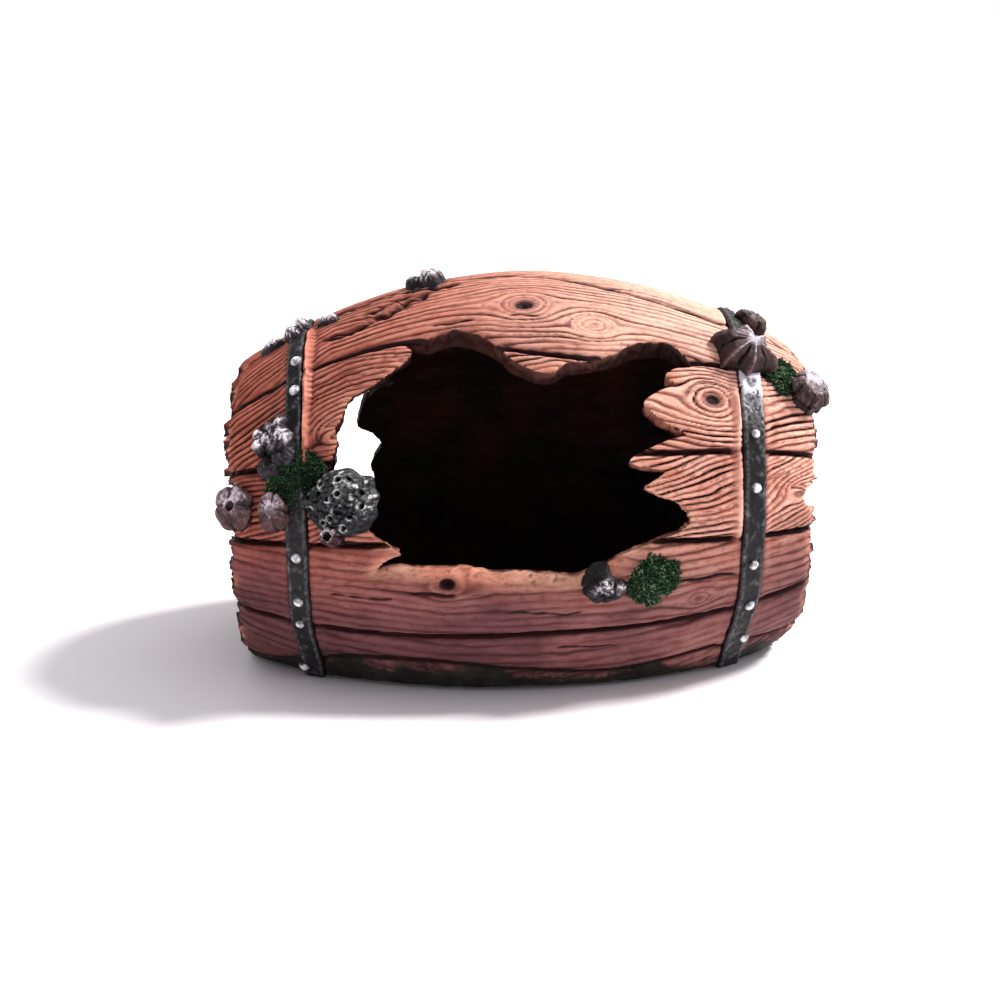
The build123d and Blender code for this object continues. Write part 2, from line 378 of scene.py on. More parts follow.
def thick_shell(outer, inner, quads, rings, roughen=None):
    """A closed shell between two surfaces with the same faces, joined round every edge.

    roughen(points, shares, rim) moves the points of the joining rings. The shell comes with its rim,
    the points along the edge, and with how far through the wall each joining ring lies.
    """
    count = len(outer)
    edges = boundary_edges(quads, count)
    rim = np.unique(edges)
    place = np.full(count, -1)
    place[rim] = np.arange(len(rim))
    shares = np.arange(1, rings) / rings
    middle = outer[rim][None] + (inner[rim] - outer[rim])[None] * shares[:, None, None]
    if roughen:
        middle = roughen(middle, shares, rim)
    points = np.concatenate([outer, inner, middle.reshape(-1, 3)])

    def ring_index(step, vertices):
        if step == 0:
            return vertices
        if step == rings:
            return vertices + count
        return 2 * count + (step - 1) * len(rim) + place[vertices]

    walls = []
    for step in range(rings):
        a0, b0 = ring_index(step, edges[:, 0]), ring_index(step, edges[:, 1])
        a1, b1 = ring_index(step + 1, edges[:, 0]), ring_index(step + 1, edges[:, 1])
        walls.append(np.stack([b0, a0, a1, b1], 1))
    return points, [quads, quads[:, ::-1] + count, *walls], rim, shares


# ---------------------------------------------------------------- staves

class Look(NamedTuple):
    """How a stave is carved."""

    pitch: float  # between the grooves of its grain
    depth: float  # of those grooves
    knots: tuple = ()  # (x, angle, size, hollow)
    cracks: tuple = ()  # (x, angle, x, angle, half width, depth)
    lean: tuple = ()  # (x, side, slope): where the grain slants
    firm: float = 0.1  # the least strength of a groove
    twist: float = 0.0  # how much the grain wanders


STAVE_LOOKS = {
    1: Look(2.4, 0.14),
    2: Look(2.6, 0.14, cracks=((8, -24, 22, -25.5, 0.3, 0.4),)),
    3: Look(
        2.3,
        0.16,
        knots=((-20, -6.2, 3.0, 2.4), (43, -15.4, 2.2, 0.3)),
        cracks=(
            (35, -9.5, 52, -10, 0.5, 0.7),
            (-29, -8.6, -19, -9.2, 0.5, 0.7),
            (-48, -12, -34, -11, 0.3, 0.3),
            (-5, -13, 12, -14.5, 0.3, 0.3),
        ),
    ),
    4: Look(
        1.5,
        0.52,
        knots=((70, 12.5, 2.6, 0.4),),
        lean=((22, 1, 0.24), (57, 1, 0.3), (-44, -1, -0.3)),
        firm=0.45,
        twist=1.2,
    ),
    5: Look(
        1.7,
        0.6,
        knots=((46.5, 40, 4.6, 0.9), (-46, 33, 3.2, 0.4)),
        lean=((58, 1, 0.35), (-44, -1, -0.42)),
        firm=0.5,
        twist=1.2,
    ),
    6: Look(
        1.8,
        0.34,
        knots=((0.3, 67, 4.6, 1.1), (17.3, 59.3, 3.8, 0.15)),
        cracks=(
            (-22, 61.5, -13, 62, 0.35, 0.5),
            (-3, 63.0, 3, 62.8, 0.35, 0.4),
            (-49, 69.8, -41, 69.6, 0.7, 0.9),
            (-41, 69.6, -34.5, 74.0, 1.5, 1.7),
            (-34.5, 74.0, -28, 78.8, 1.7, 1.9),
            (-28, 78.8, -19, 83.2, 1.4, 1.6),
            (-38, 77.5, -30, 81.5, 0.8, 1.0),
        ),
        lean=((-48, -1, -0.4),),
        firm=0.25,
    ),
    7: Look(1.8, 0.34, cracks=((-52, 87, -22, 89, 0.8, 1.2),)),
    8: Look(2.3, 0.40, knots=((-20, 120, 4.4, 0.8),)),
    9: Look(2.2, 0.42, knots=((30, 143, 4.4, 0.8),), cracks=((-10, 146, 22, 148, 0.4, 0.6),)),
    10: Look(2.2, 0.42, knots=((-5, 166, 4.0, 0.6),)),
    11: Look(2.4, 0.36, knots=((24, 190, 4.2, 0.7),), cracks=((35, 186, 60, 187, 0.4, 0.6),)),
    12: Look(2.4, 0.30, knots=((-18, 211, 3.0, 0.5),)),
    13: Look(2.5, 0.25),
}
# What is left of a stave where a hole divides it
STUMPS = {4: ("left", "right"), 5: ("left", "middle", "right"), 10: ("left", "right")}
HOLES = {3: "front", 4: "front", 5: "front", 6: "front", 9: "rear", 10: "rear", 11: "rear"}
HOLE_OUTLINES = {
    "front": roughened(FRONT_OPENING, seed=11, size=0.26),
    "rear": roughened(REAR_OPENING, seed=12, size=0.6),
}
BITTEN_STAVE = 4  # its right end has a bite out of it
BITE_OUTLINE = roughened(END_BITE, seed=13, size=0.3)
ROW_STEP = 0.62  # between points along the barrel
COLUMN_STEP = 0.34  # between points round it
RINGS = 7  # steps through the wall along a broken or sawn edge
SNAP = 0.3  # a point this near a hole's outline is moved onto it
SMALL_PATCH = 150  # faces; a smaller patch of a cut stave is dropped
TORN = 0.6  # how far from a hole the wood still counts as its torn edge
KNOT_STRETCH = 1.5  # a knot's length over its height
RING_PITCH = 1.15  # between the rings of a knot
FAINT_HOLLOW = 0.2  # a knot with a shallower hollow than this is only faintly carved
SLANT = 3.8  # degrees by which the break's upper left edge is cut back inside


def grain_field(x, across, angle, middle, look, noise):
    """A value that rises by 1 from groove to groove, the knots' hollows, and where knots are faint."""
    wave = 1.6 * noise(x * 0.018, across * 0.05, 3.1) + 0.5 * noise(x * 0.06, across * 0.12, 8.2)
    wave = wave + look.twist * noise(x * 0.085, across * 0.1, 12.4)
    for start, side, slope in look.lean:
        wave = wave - slope * np.maximum(side * (x - start), 0)
    field = across + wave
    heart, faint = np.zeros(x.shape), np.zeros(x.shape)
    for knot_x, knot_angle, size, hollow in look.knots:
        side = (angle - knot_angle) * degree_width(knot_x, knot_angle)
        gap = np.hypot((x - knot_x) / KNOT_STRETCH, side) + 1e-6
        # the grain flows round a knot, and rings fill it
        around = side * size**2 / np.maximum(gap, size) ** 2
        field = field - around * step_down(gap, size, 6 * size)
        centre = (knot_angle - middle) * degree_width(knot_x, knot_angle)
        rings = (size - gap) * look.pitch / RING_PITCH
        field = np.where(gap < size, centre + wave + rings, field)
        heart = np.maximum(heart, hollow * hump(gap, size * 0.33))
        if hollow < FAINT_HOLLOW:
            faint = np.maximum(faint, step_down(gap, size * 0.8, size * 1.2))
    return field / look.pitch, heart, faint


def grain(x, angle, across, middle, look, noise):
    """Height, darkness and crests of the carved grain."""
    field, heart, faint = grain_field(x, across, angle, middle, look, noise)
    field = field + 0.16 * noise(x * 0.22, across * 0.7, 5.5)
    phase = field - np.floor(field)
    valley_width = 0.17 + 0.07 * noise(x * 0.05, np.floor(field) * 3.3, 1.7)
    strength = 0.66 + 0.75 * noise(x * 0.035, np.floor(field + 0.5) * 2.7, 9.4)
    strength = np.clip(strength, look.firm, 1.15) * (1 - 0.6 * faint)
    valley = hump(np.minimum(phase, 1 - phase), valley_width) * strength
    fine_phase = 2.7 * field + 0.6 * noise(x * 0.1, across * 1.1, 2.2)
    fine_strength = np.clip(0.3 + 0.9 * noise(x * 0.06, np.round(fine_phase) * 1.9, 4.4), 0, 1)
    fine = hump(np.abs(fine_phase - np.round(fine_phase)), 0.16) * fine_strength
    fibre = noise(x * 0.35, across * 2.1, 6.6)
    swell = noise(x * 0.045, across * 0.13, 0.4)
    height = 0.32 * swell + 0.05 * fibre - look.depth * (1.35 * valley + 0.34 * fine) - heart
    dark = (0.45 + 1.1 * look.depth) * np.maximum(valley, 0.55 * fine)
    dark = np.maximum(dark, np.clip(1.3 * heart, 0, 1))
    crest = hump(phase - 0.5, 0.3) * (1 - fine) * np.clip(0.4 + look.depth, 0, 1)
    return height, dark, crest


def cracked(x, angle, across, look, noise):
    """How deep a stave's cracks are at each point, and how dark."""
    depths, darks = np.zeros(x.shape), np.zeros(x.shape)
    for x0, a0, x1, a1, half, depth in look.cracks:
        wide = degree_width((x0 + x1) / 2, (a0 + a1) / 2)
        t = np.clip((x - x0) / (x1 - x0), 0, 1)
        line = a0 + (a1 - a0) * t + 0.9 * noise(x * 0.16, 3.3 + a0) / wide
        beyond = np.maximum(np.maximum(x0 - x, x - x1), 0)
        gap = np.hypot((angle - line) * wide, beyond * 0.4)
        groove = hump(gap, half * (1 + 0.6 * noise(x * 0.5, across * 0.5, 7.7)))
        depths += depth * groove
        darks = np.maximum(darks, groove)
    return depths, darks


def carve(x, angle, across, middle, edge_gap, end_gap, hole_gap, look, noise):
    """Height of the carved wood above the smooth wall, and its paint marks."""
    height, dark, crest = grain(x, angle, across, middle, look, noise)
    depths, darks = cracked(x, angle, across, look, noise)
    height, dark = height - depths, np.maximum(dark, darks)

    # the open seams beside it
    seam = hump(edge_gap, 0.72 * (1 + 0.35 * noise(x * 0.3, across * 0.06, 2.9)))
    height -= 1.25 * seam + 0.35 * hump(edge_gap, 2.0)
    dark = np.maximum(dark, step_up(seam, 0.12, 0.75))

    # its worn ends and broken edges, some of them bare
    height -= 0.7 * hump(end_gap, 1.3) + 0.35 * hump(hole_gap, TORN)
    height -= 0.25 * hump(end_gap, 4.0) * (1 + noise(x * 0.4, across * 0.8, 1.9))
    raw = hump(np.maximum(hole_gap, 0), 1.8) * np.clip(0.5 + 0.8 * noise(x * 0.2, across * 0.3, 5.1), 0, 1)
    raw = raw * (0.35 + 0.65 * step_down(angle, 46, 54))
    raw = np.maximum(raw, 0.7 * hump(end_gap, 1.1) * step_up(noise(x * 0.3, angle * 0.12, 6.3), -0.1, 0.4))

    # the lower broken edge, worn down to a pale slope
    lower = step_down(angle, -2, 3) * (middle < 0)
    worn_width = 3.0 + 2.4 * hump(x + 4, 17) + 1.2 * noise(x * 0.14, 4.4)
    slope = step_up(-hole_gap, -worn_width, 0.2) * lower
    height -= 2.5 * slope**1.3 * (1 + 0.3 * noise(x * 0.3, across * 0.3, 2.7))
    height += 0.35 * hump(hole_gap - worn_width, 0.6) * lower
    rough = layered(noise, x * 0.5, across * 0.7, 3.9)
    raw = np.maximum(raw, slope * np.clip(0.9 + 0.5 * rough, 0, 1))
    dark = dark * (1 - 0.6 * slope) + 0.5 * slope * step_up(rough, 0.35, 0.8)
    return height, dark, raw, crest * (1 - np.clip(dark, 0, 1))


def lips(x, angle, noise):
    """Wood pressed up beside the hoops, the seats that they lie in, and where the grain is pressed flat."""
    height, seat, calm = (np.zeros(x.shape) for _ in range(3))
    for node in HOOPS:
        centre, width = hoop_middle(node, angle), hoop_half(node, angle)
        for side in (-1, 1):
            strong = 0.25
            if node == "left_hoop" and side == 1:
                strong = 0.3 + 1.3 * step_up(angle, 20, 28) * step_down(angle, 74, 84)
            if node == "right_hoop" and side == -1:
                strong = 0.3 + 0.7 * step_up(angle, -4, 6) * step_down(angle, 40, 48)
            wobble = 0.35 * noise(angle * 0.11, 3.3 * side, HOOPS[node][0])
            gap = x - (centre + side * (width + 0.95 + wobble))
            height += strong * (0.85 + 0.35 * noise(angle * 0.2, side, 1.5)) * hump(gap, 0.7)
            calm = np.maximum(calm, np.clip(1.4 * strong, 0, 1) * hump(gap - side * 0.25, 1.35))
            dip = x - (centre + side * (width + 2.5 + wobble))
            height -= 0.3 * strong * hump(dip, 0.5)
        seat = np.maximum(seat, step_up(width + 0.25 - np.abs(x - centre), 0, 0.35))
    return height, seat, calm


def keep_patches(keep):
    """Splits a grid of kept cells into its connected patches, leaving out tiny ones."""
    label = np.zeros(keep.shape, int)
    rows, columns = keep.shape
    patches = []
    for start in zip(*np.nonzero(keep)):
        if label[start]:
            continue
        number = len(patches) + 1
        label[start] = number
        queue, cells = deque([start]), []
        while queue:
            i, j = queue.popleft()
            cells.append((i, j))
            for a, b in ((i - 1, j), (i + 1, j), (i, j - 1), (i, j + 1)):
                if 0 <= a < rows and 0 <= b < columns and keep[a, b] and not label[a, b]:
                    label[a, b] = number
                    queue.append((a, b))
        patches.append(cells)
    return [np.array(cells) for cells in patches if len(cells) > SMALL_PATCH]


def stave_grid(number):
    """A stave's grid: x and the share of its width at each point; also its middle angle and its noise."""
    index = number - 1
    noise = make_noise(100 + number)
    low, high = (seam_angle(seam, np.zeros(1))[0] for seam in (index, index + 1))
    mid_angle = (low + high) / 2
    wide = (high - low) * degree_width(0.0, mid_angle)
    columns = max(8, int(wide / COLUMN_STEP))
    rows = int(2 * HALF_LENGTH / ROW_STEP)
    w = np.linspace(0, 1, columns + 1)[None, :]
    t = np.linspace(0, 1, rows + 1)[:, None]
    short_left, short_right = END_SHORT[index]
    low, high = -HALF_LENGTH + short_left, HALF_LENGTH - short_right
    x = low + (high - low) * t + 0 * w
    v = w * wide
    for end, sign, row in ((low, -1, 0.0), (high, 1, 9.0)):
        notch = 1.1 * layered(noise, v * 0.28, row, 2.0) + 0.5 * noise(v * 1.1, row, 5.0)
        notch = notch - 1.3 * hump(v % 4.3 - 2.1, 0.5) * (noise(v * 0.2, row, 7.0) > 0)
        x = x - sign * (0.5 + notch) * hump(x - end, 5.0)
    return x, w + 0 * x, mid_angle, noise


def side_angles(number, x, w, offset):
    """The angle at share w of a stave's width, and at its two sides, offset from the outside."""
    index = number - 1
    gap = (SEAM_GAP if offset == 0 else INNER_SEAM_GAP) / 2 / degree_width(x, 45.0)
    low, high = seam_angle(index, x) + gap, seam_angle(index + 1, x) - gap
    if number == 1:
        low = np.maximum(low, ground_angle(x, offset, at_back=False))
    if number == 13:
        high = np.minimum(high, ground_angle(x, offset, at_back=True))
    high = np.maximum(high, low + 0.2)
    return low + (high - low) * w, low, high


def cut_to_holes(number, x, angle):
    """Distance to the nearest hole, the places with near ones moved onto its outline, and which moved."""
    gap, near_x, near_angle = np.full(x.shape, FAR), x, angle
    if number in HOLES:
        gap, near_x, near_angle = distance_to(HOLE_OUTLINES[HOLES[number]], x, angle)
    if number == BITTEN_STAVE:
        bite_gap, bite_x, bite_angle = distance_to(BITE_OUTLINE, x, angle)
        closer = bite_gap < gap
        gap = np.where(closer, bite_gap, gap)
        near_x, near_angle = np.where(closer, bite_x, near_x), np.where(closer, bite_angle, near_angle)
    snap = np.abs(gap) < SNAP
    return gap, np.where(snap, near_x, x), np.where(snap, near_angle, angle), snap


def inner_surface(number, x, w, angle, hole_gap, snap, dent):
    """The inside of a stave."""
    inner_angle, _, _ = side_angles(number, x, w, -WALL)
    inner_angle = np.where(snap, angle, inner_angle)
    # the upper left of the front opening is cut slanting, wider inside
    slanting = step_down(x, -30, -22) * step_up(angle, 36, 43) * step_down(angle, 60, 66)
    inner_angle = inner_angle + SLANT * slanting * hump(np.maximum(hole_gap, 0), 4.0)
    return wall_point(x, inner_angle, -WALL) + wall_normal(x, inner_angle) * dent[..., None]


def roughened_edge(points, shares, near_hole, near_end, x, angle, noise):
    """The rings of points through a stave's edge, moved about as in torn and sawn wood."""
    torn, sawn = hump(np.maximum(near_hole, 0), TORN), hump(near_end, 0.5)
    bulge = np.sin(np.pi * shares)[:, None]
    lengthways = np.array([1.0, 0.0, 0.0])
    around = np.cross(wall_normal(x, angle), lengthways)
    p, q = points * 0.34, points * 1.1
    push_x = layered(noise, p[..., 0], p[..., 1], p[..., 2], layers=2)
    push_a = layered(noise, p[..., 1] + 31, p[..., 2], p[..., 0], layers=2)
    push_a = push_a + 0.35 * noise(q[..., 0], q[..., 1], q[..., 2])
    # the upper edge of the break is left in chunks
    upper = step_up(angle, 40, 50) * step_down(angle, 84, 90)
    chunks = np.clip(noise(p[..., 0] * 1.3, shares[:, None] * 2.2, 8.8), -0.4, 0.4)
    push_x = (0.7 * torn + 0.55 * sawn) * bulge * push_x
    push_a = 0.8 * torn * bulge * (push_a + 2.4 * upper * chunks)
    return above_ground(points + push_x[..., None] * lengthways + push_a[..., None] * around)


def edge_marks(shares, near_hole, x, angle):
    """The marks dark, raw and inside on the rings through a stave's edge, with painted shade on the wall of
    the break's upper edge.
    """
    torn = hump(np.maximum(near_hole, 0), TORN)
    splinters = step_up(x, 20, 28) * step_down(angle, 46, 52)
    pale = np.maximum(step_down(angle, 8, 34), 0.6 * splinters) * torn
    pale, upper = (np.tile(values, len(shares)) for values in (pale, step_up(angle, 46, 54) * torn))
    depth = np.repeat(shares, len(x))
    dark = (0.5 + 0.35 * depth) * (1 - 0.8 * pale)
    # painted shade: the wall of the break's upper edge faces down, so it is painted dark and given the
    # inside's colour
    dark = np.maximum(dark, upper * (0.62 + 0.3 * step_up(depth, 0.25, 0.6)))
    inside = 0.5 * (1 - pale) + (0.5 + 0.5 * pale) * step_up(depth, 0.6, 0.98)
    return dark, 0.9 * pale * (1 - depth), np.maximum(inside, 0.85 * upper)


def make_stave(number, wood):
    """A carved stave, or its stumps where a hole divides it."""
    x, w, middle, noise = stave_grid(number)
    angle, low, high = side_angles(number, x, w, 0.0)
    edge_gap = np.minimum(w, 1 - w) * (high - low) * degree_width(x, angle)
    end_gap = np.minimum(x - x.min(axis=0), x.max(axis=0) - x)
    hole_gap, cut_x, cut_angle, snap = cut_to_holes(number, x, angle)
    across = (cut_angle - middle) * degree_width(cut_x, middle)
    dent = 0.35 * layered(noise, x * 0.12, across * 0.2, 11.0)
    x, angle = cut_x, cut_angle
    gaps = (edge_gap, end_gap, hole_gap)
    carving = make_noise(200 + number)
    height, dark, raw, crest = carve(x, angle, across, middle, *gaps, STAVE_LOOKS[number], carving)
    lip, seat, calm = lips(x, angle, noise)
    height = (height * (1 - 0.85 * calm) + lip) * (1 - seat) - 0.35 * seat
    dark = np.maximum(dark * (1 - 0.85 * calm), seat)
    crest = np.maximum(crest, 1.2 * step_up(lip, 0.25, 0.8))

    outer = wall_point(x, angle) + wall_normal(x, angle) * height[..., None]
    inner = inner_surface(number, x, w, angle, hole_gap, snap, dent)
    outer, inner = above_ground(outer).reshape(-1, 3), above_ground(inner).reshape(-1, 3)
    kept = (hole_gap > 0) | snap
    patches = keep_patches(kept[:-1, :-1] & kept[1:, :-1] & kept[1:, 1:] & kept[:-1, 1:])
    patches.sort(key=lambda p: p[:, 0].mean())
    names = STUMPS.get(number)
    if not names:
        patches = [np.concatenate(patches)]
    index = np.arange(x.size).reshape(x.shape)
    for name, patch in zip(names or ("",), patches):
        i, j = patch[:, 0], patch[:, 1]
        quads = np.stack([index[i, j], index[i + 1, j], index[i + 1, j + 1], index[i, j + 1]], 1)
        used, renumbered = np.unique(quads, return_inverse=True)
        quads = renumbered.reshape(quads.shape)

        def roughen(points, shares, rim):
            at_rim = (values.ravel()[used][rim] for values in (hole_gap, end_gap, x, angle))
            return roughened_edge(points, shares, *at_rim, noise)

        points, faces, rim, shares = thick_shell(outer[used], inner[used], quads, RINGS, roughen)
        at_rim = (values.ravel()[used][rim] for values in (hole_gap, x, angle))
        edge_dark, edge_raw, edge_inside = edge_marks(shares, *at_rim)
        none = np.zeros(len(used))
        marks = {  # on the outside, on the inside and along the edge
            "dark": (dark.ravel()[used], none + 0.6, edge_dark),
            "raw": (raw.ravel()[used], none, edge_raw),
            "crest": (crest.ravel()[used], none, 0 * edge_raw),
            "inside": (none, none + 1, edge_inside),
        }
        marks = {mark: np.concatenate(values) for mark, values in marks.items()}
        node = f"stave_{number:02d}" + (f"_{name}" if name else "")
        stand_for(add_mesh(node + "_carved", points, faces, marks, wood), node)


# ---------------------------------------------------------------- hoops and rivets

RIVET_RADIUS = 1.5
RIVET_HEIGHT = 1.1
RIVET_ANGLES = {
    "left_hoop": (-43, -23, -15, -1, 50, 62, 100, 122, 146, 168, 190, 212),
    "right_hoop": (-36, -22, -8, 15, 31, 48.2, 98, 120, 143, 165, 188, 210),
}
RING_RIVET = 48.2  # the angle of the right hoop's ring-shaped rivet
HOOP_SUNK = 0.5
HOOP_ROWS, HOOP_COLUMNS = 720, 25


def make_hoop(node, iron, seed):
    """An iron strap bent round the barrel, hammered and pitted."""
    noise = make_noise(seed)
    centre, _ = HOOPS[node]
    low = ground_angle(np.array(centre), HOOP_PROUD, at_back=False)
    high = ground_angle(np.array(centre), HOOP_PROUD, at_back=True)
    angle = np.linspace(low, high, HOOP_ROWS)[:, None]
    across = np.linspace(-1, 1, HOOP_COLUMNS)[None, :]
    half = hoop_half(node, angle) + 0.16 * noise(angle * 0.16, 1.0) + 0.1 * noise(angle * 0.6, 2.0)
    drift = 0.22 * noise(angle * 0.07, 5.0) + hoop_middle(node, angle) - centre
    x = centre + drift + across * half
    arc = angle * degree_width(centre, 45.0)
    lap = pale = 0 * angle
    if node == "right_hoop":  # its ends overlap at the top of its pale stretch, dry-brush paint with a painted highlight
        lap = step_up(angle, 43.2, 44.4) * step_down(angle, 57, 58)
        pale = 0.45 * step_up(angle, 30, 40) * step_down(angle, 57, 60) + 0.75 * lap
    dents = layered(noise, arc * 0.42, across * half * 0.42, 3.0)
    pits = np.clip(noise(arc * 1.15, across * half * 1.15, 8.0) - 0.25, 0, 1)
    ridge = hump(np.abs(across) - 0.8, 0.13)
    top = HOOP_PROUD + 0.13 * dents - 0.45 * pits - 0.4 * np.abs(across) ** 10 + 0.25 * lap + 0.1 * ridge
    surface = wall_point(x, angle) + wall_normal(x, angle) * top[..., None]
    sides = []
    for side in (1, -1):
        for drop in (0.35, 0.1, -0.2, -HOOP_SUNK)[::side]:
            sides.append(wall_point(centre + drift + side * half, angle, drop))
    loop = above_ground(np.concatenate([surface, *sides], axis=1))
    rows, columns = loop.shape[:2]
    index = np.arange(rows * columns).reshape(rows, columns)
    turned = np.roll(index, -1, axis=1)
    quads = np.stack([index[:-1], turned[:-1], turned[1:], index[1:]], -1).reshape(-1, 4)
    caps = [index[0][::-1][None, :], index[-1][None, :]]
    light = 0.55 * ridge + 0.5 * step_up(dents, 0.1, 0.7) - 0.8 * step_up(pits, 0.05, 0.3)
    light = np.clip(light * (0.35 + pale) + 0.75 * pale * (1 - step_up(pits, 0.05, 0.3)), 0, 1)
    light = np.concatenate([light, np.zeros((rows, columns - HOOP_COLUMNS))], axis=1)
    piece = add_mesh(node + "_hammered", loop.reshape(-1, 3), [quads, *caps], {"light": light}, iron)
    stand_for(piece, node)


def polar_grid(rings, sectors):
    """Shares from the middle to the edge, turns round it, and faces; the first point is the middle."""
    share = np.repeat(np.arange(1, rings + 1) / rings, sectors)
    turn = np.tile(np.arange(sectors) * 2 * np.pi / sectors, rings)
    share, turn = np.concatenate([[0.0], share]), np.concatenate([[0.0], turn])
    ring = 1 + np.arange(rings * sectors).reshape(rings, sectors)
    after = np.roll(ring, -1, axis=1)
    fan = np.stack([np.zeros(sectors, int), ring[0], after[0]], 1)
    quads = np.stack([ring[:-1], ring[1:], after[1:], after[:-1]], -1).reshape(-1, 4)
    return share, turn, fan, quads, ring[-1]


def on_wall(place, u, v, h):
    """A point u along the barrel and v round it from a place on the wall, h above it."""
    x, angle = place
    along, around = x + u, angle + v / degree_width(x, angle)
    return wall_point(along, around) + wall_normal(along, around) * np.asarray(h)[..., None]


def closed_patch(place, depth, points, fan, quads, edge):
    """A patch closed underneath by a fan to one more point, at a depth below its place on the wall."""
    bottom = on_wall(place, 0.0, 0.0, -depth)
    after = np.roll(edge, -1)
    base = np.stack([after, edge, np.full(len(edge), len(points))], 1)
    return np.concatenate([points, bottom[None]]), [fan, quads, base]


def make_rivets(node, metal, seed):
    """Domed rivet heads on a hoop; one on the right hoop is a ring."""
    noise = make_noise(seed)
    centre, _ = HOOPS[node]
    share, turn, fan, quads, edge = polar_grid(14, 36)
    points, faces, light = [], [[], [], []], []
    count = 0
    for number, angle in enumerate(RIVET_ANGLES[node]):
        size = RIVET_RADIUS * (0.82 + 0.2 * noise(number * 1.7, 0.5, seed * 0.37))
        u, v = share * size * np.cos(turn), share * size * np.sin(turn)
        h = HOOP_PROUD - 0.2 + (RIVET_HEIGHT + 0.15) * dome(share * 0.97)
        h = h + 0.22 * layered(noise, u * 0.9 + 5 * number, v * 0.9, 2.0, layers=2)
        if node == "right_hoop" and angle == RING_RIVET:
            h = HOOP_PROUD + 0.25 + 0.75 * hump(share - 0.72, 0.2) - 0.5 * step_up(share, 0.8, 1)
        place = (centre, angle)
        patch, shapes = closed_patch(place, 0.5 - HOOP_PROUD, on_wall(place, u, v, h), fan, quads, edge)
        points.append(patch)
        for kept, new in zip(faces, shapes):
            kept.append(new + count)
        count += len(patch)
        worn = 0.75 + 0.5 * noise(u * 0.9 + 3 * number, v * 0.9, 7.0) - 0.6 * share**4
        light.append(np.append(worn, 0))
    faces = [np.concatenate(f) for f in faces]
    marks = {"light": np.clip(np.concatenate(light), 0, 1)}
    piece = add_mesh(node + "_rivets_domed", np.concatenate(points), faces, marks, metal)
    stand_for(piece, node + "_rivets")


# ---------------------------------------------------------------- growths

# Where each growth is on the wall, (x, angle), and its half length, half width and height
GROWTHS = {
    "hoop_barnacle_large": (55.0, 58.6, 8.0, 6.8, 6),
    "hoop_barnacle_small": (60, 83, 4, 3.6, 4),
    "rim_barnacle_right": (72.4, 50, 4.2, 4.2, 4.6),
    "rim_barnacle_left": (-71.8, 13, 4.4, 5, 3.6),
    "left_barnacle": (-61.6, 11, 3.5, 4.4, 3.6),
    "left_coral": (-45.2, 14.5, 8.8, 8.4, 7),
    "coral_barnacle": (-47, 5, 2.3, 2.3, 6.2),
    "left_rock": (-61.6, 32.5, 6.6, 8.2, 4.6),
    "left_moss": (-57.4, 23, 7.4, 7.4, 3),
    "front_rock": (18.8, -7.6, 6.0, 4.8, 3.6),
    "front_moss": (31, -7.5, 6, 6.5, 2.6),
    "right_moss": (65.5, 57, 5, 5.5, 2.4),
    "top_rock": (-24.5, 91, 5.4, 5, 4.4),
    "hoop_rock": (-56.8, 82.5, 3.6, 4.2, 4.6),
    "shoulder_rock": (-64, 81, 3.6, 3.8, 2.4),
    "stave_rock": (-49.5, 81, 3.0, 3.0, 2.2),
}
SUNK = 0.8  # how far a growth's edge lies below the wood
BASE = 0.4  # how much deeper the middle of its underside is
DEEP_SUNK = {"front_rock": 3.4, "front_moss": 1.6}  # where the wood itself is worn away


def make_patch(name, suffix, material, shape, seed, rings=70, sectors=168):
    """A growth as one closed patch; shape gives u, v, h and the marks from share and turn."""
    x, angle, half_x, half_round, height = GROWTHS[name]
    share, turn, fan, quads, edge = polar_grid(rings, sectors)
    u, v, h, marks = shape(share, turn, half_x, half_round, height, make_noise(seed))
    sunk = DEEP_SUNK.get(name, SUNK)
    h = np.where(share > 0.985, -sunk, np.maximum(h, 0.3 - sunk))
    place = (x, angle)
    points, faces = closed_patch(place, sunk + BASE, on_wall(place, u, v, h), fan, quads, edge)
    marks = {k: np.append(np.clip(m, 0, 1), 0) for k, m in marks.items()}
    piece = add_mesh(name + suffix, above_ground(points), faces, marks, material)
    stand_for(piece, name)


def plate_gaps(turn, plates, noise):
    """How far a point is from the nearest gap, and how far across its plate, as shares of a plate."""
    bent = turn + 0.22 * ripple(noise, turn, 1.3, 4.0)
    phase = bent * plates / (2 * np.pi)
    phase = phase - np.floor(phase)
    return np.minimum(phase, 1 - phase), phase


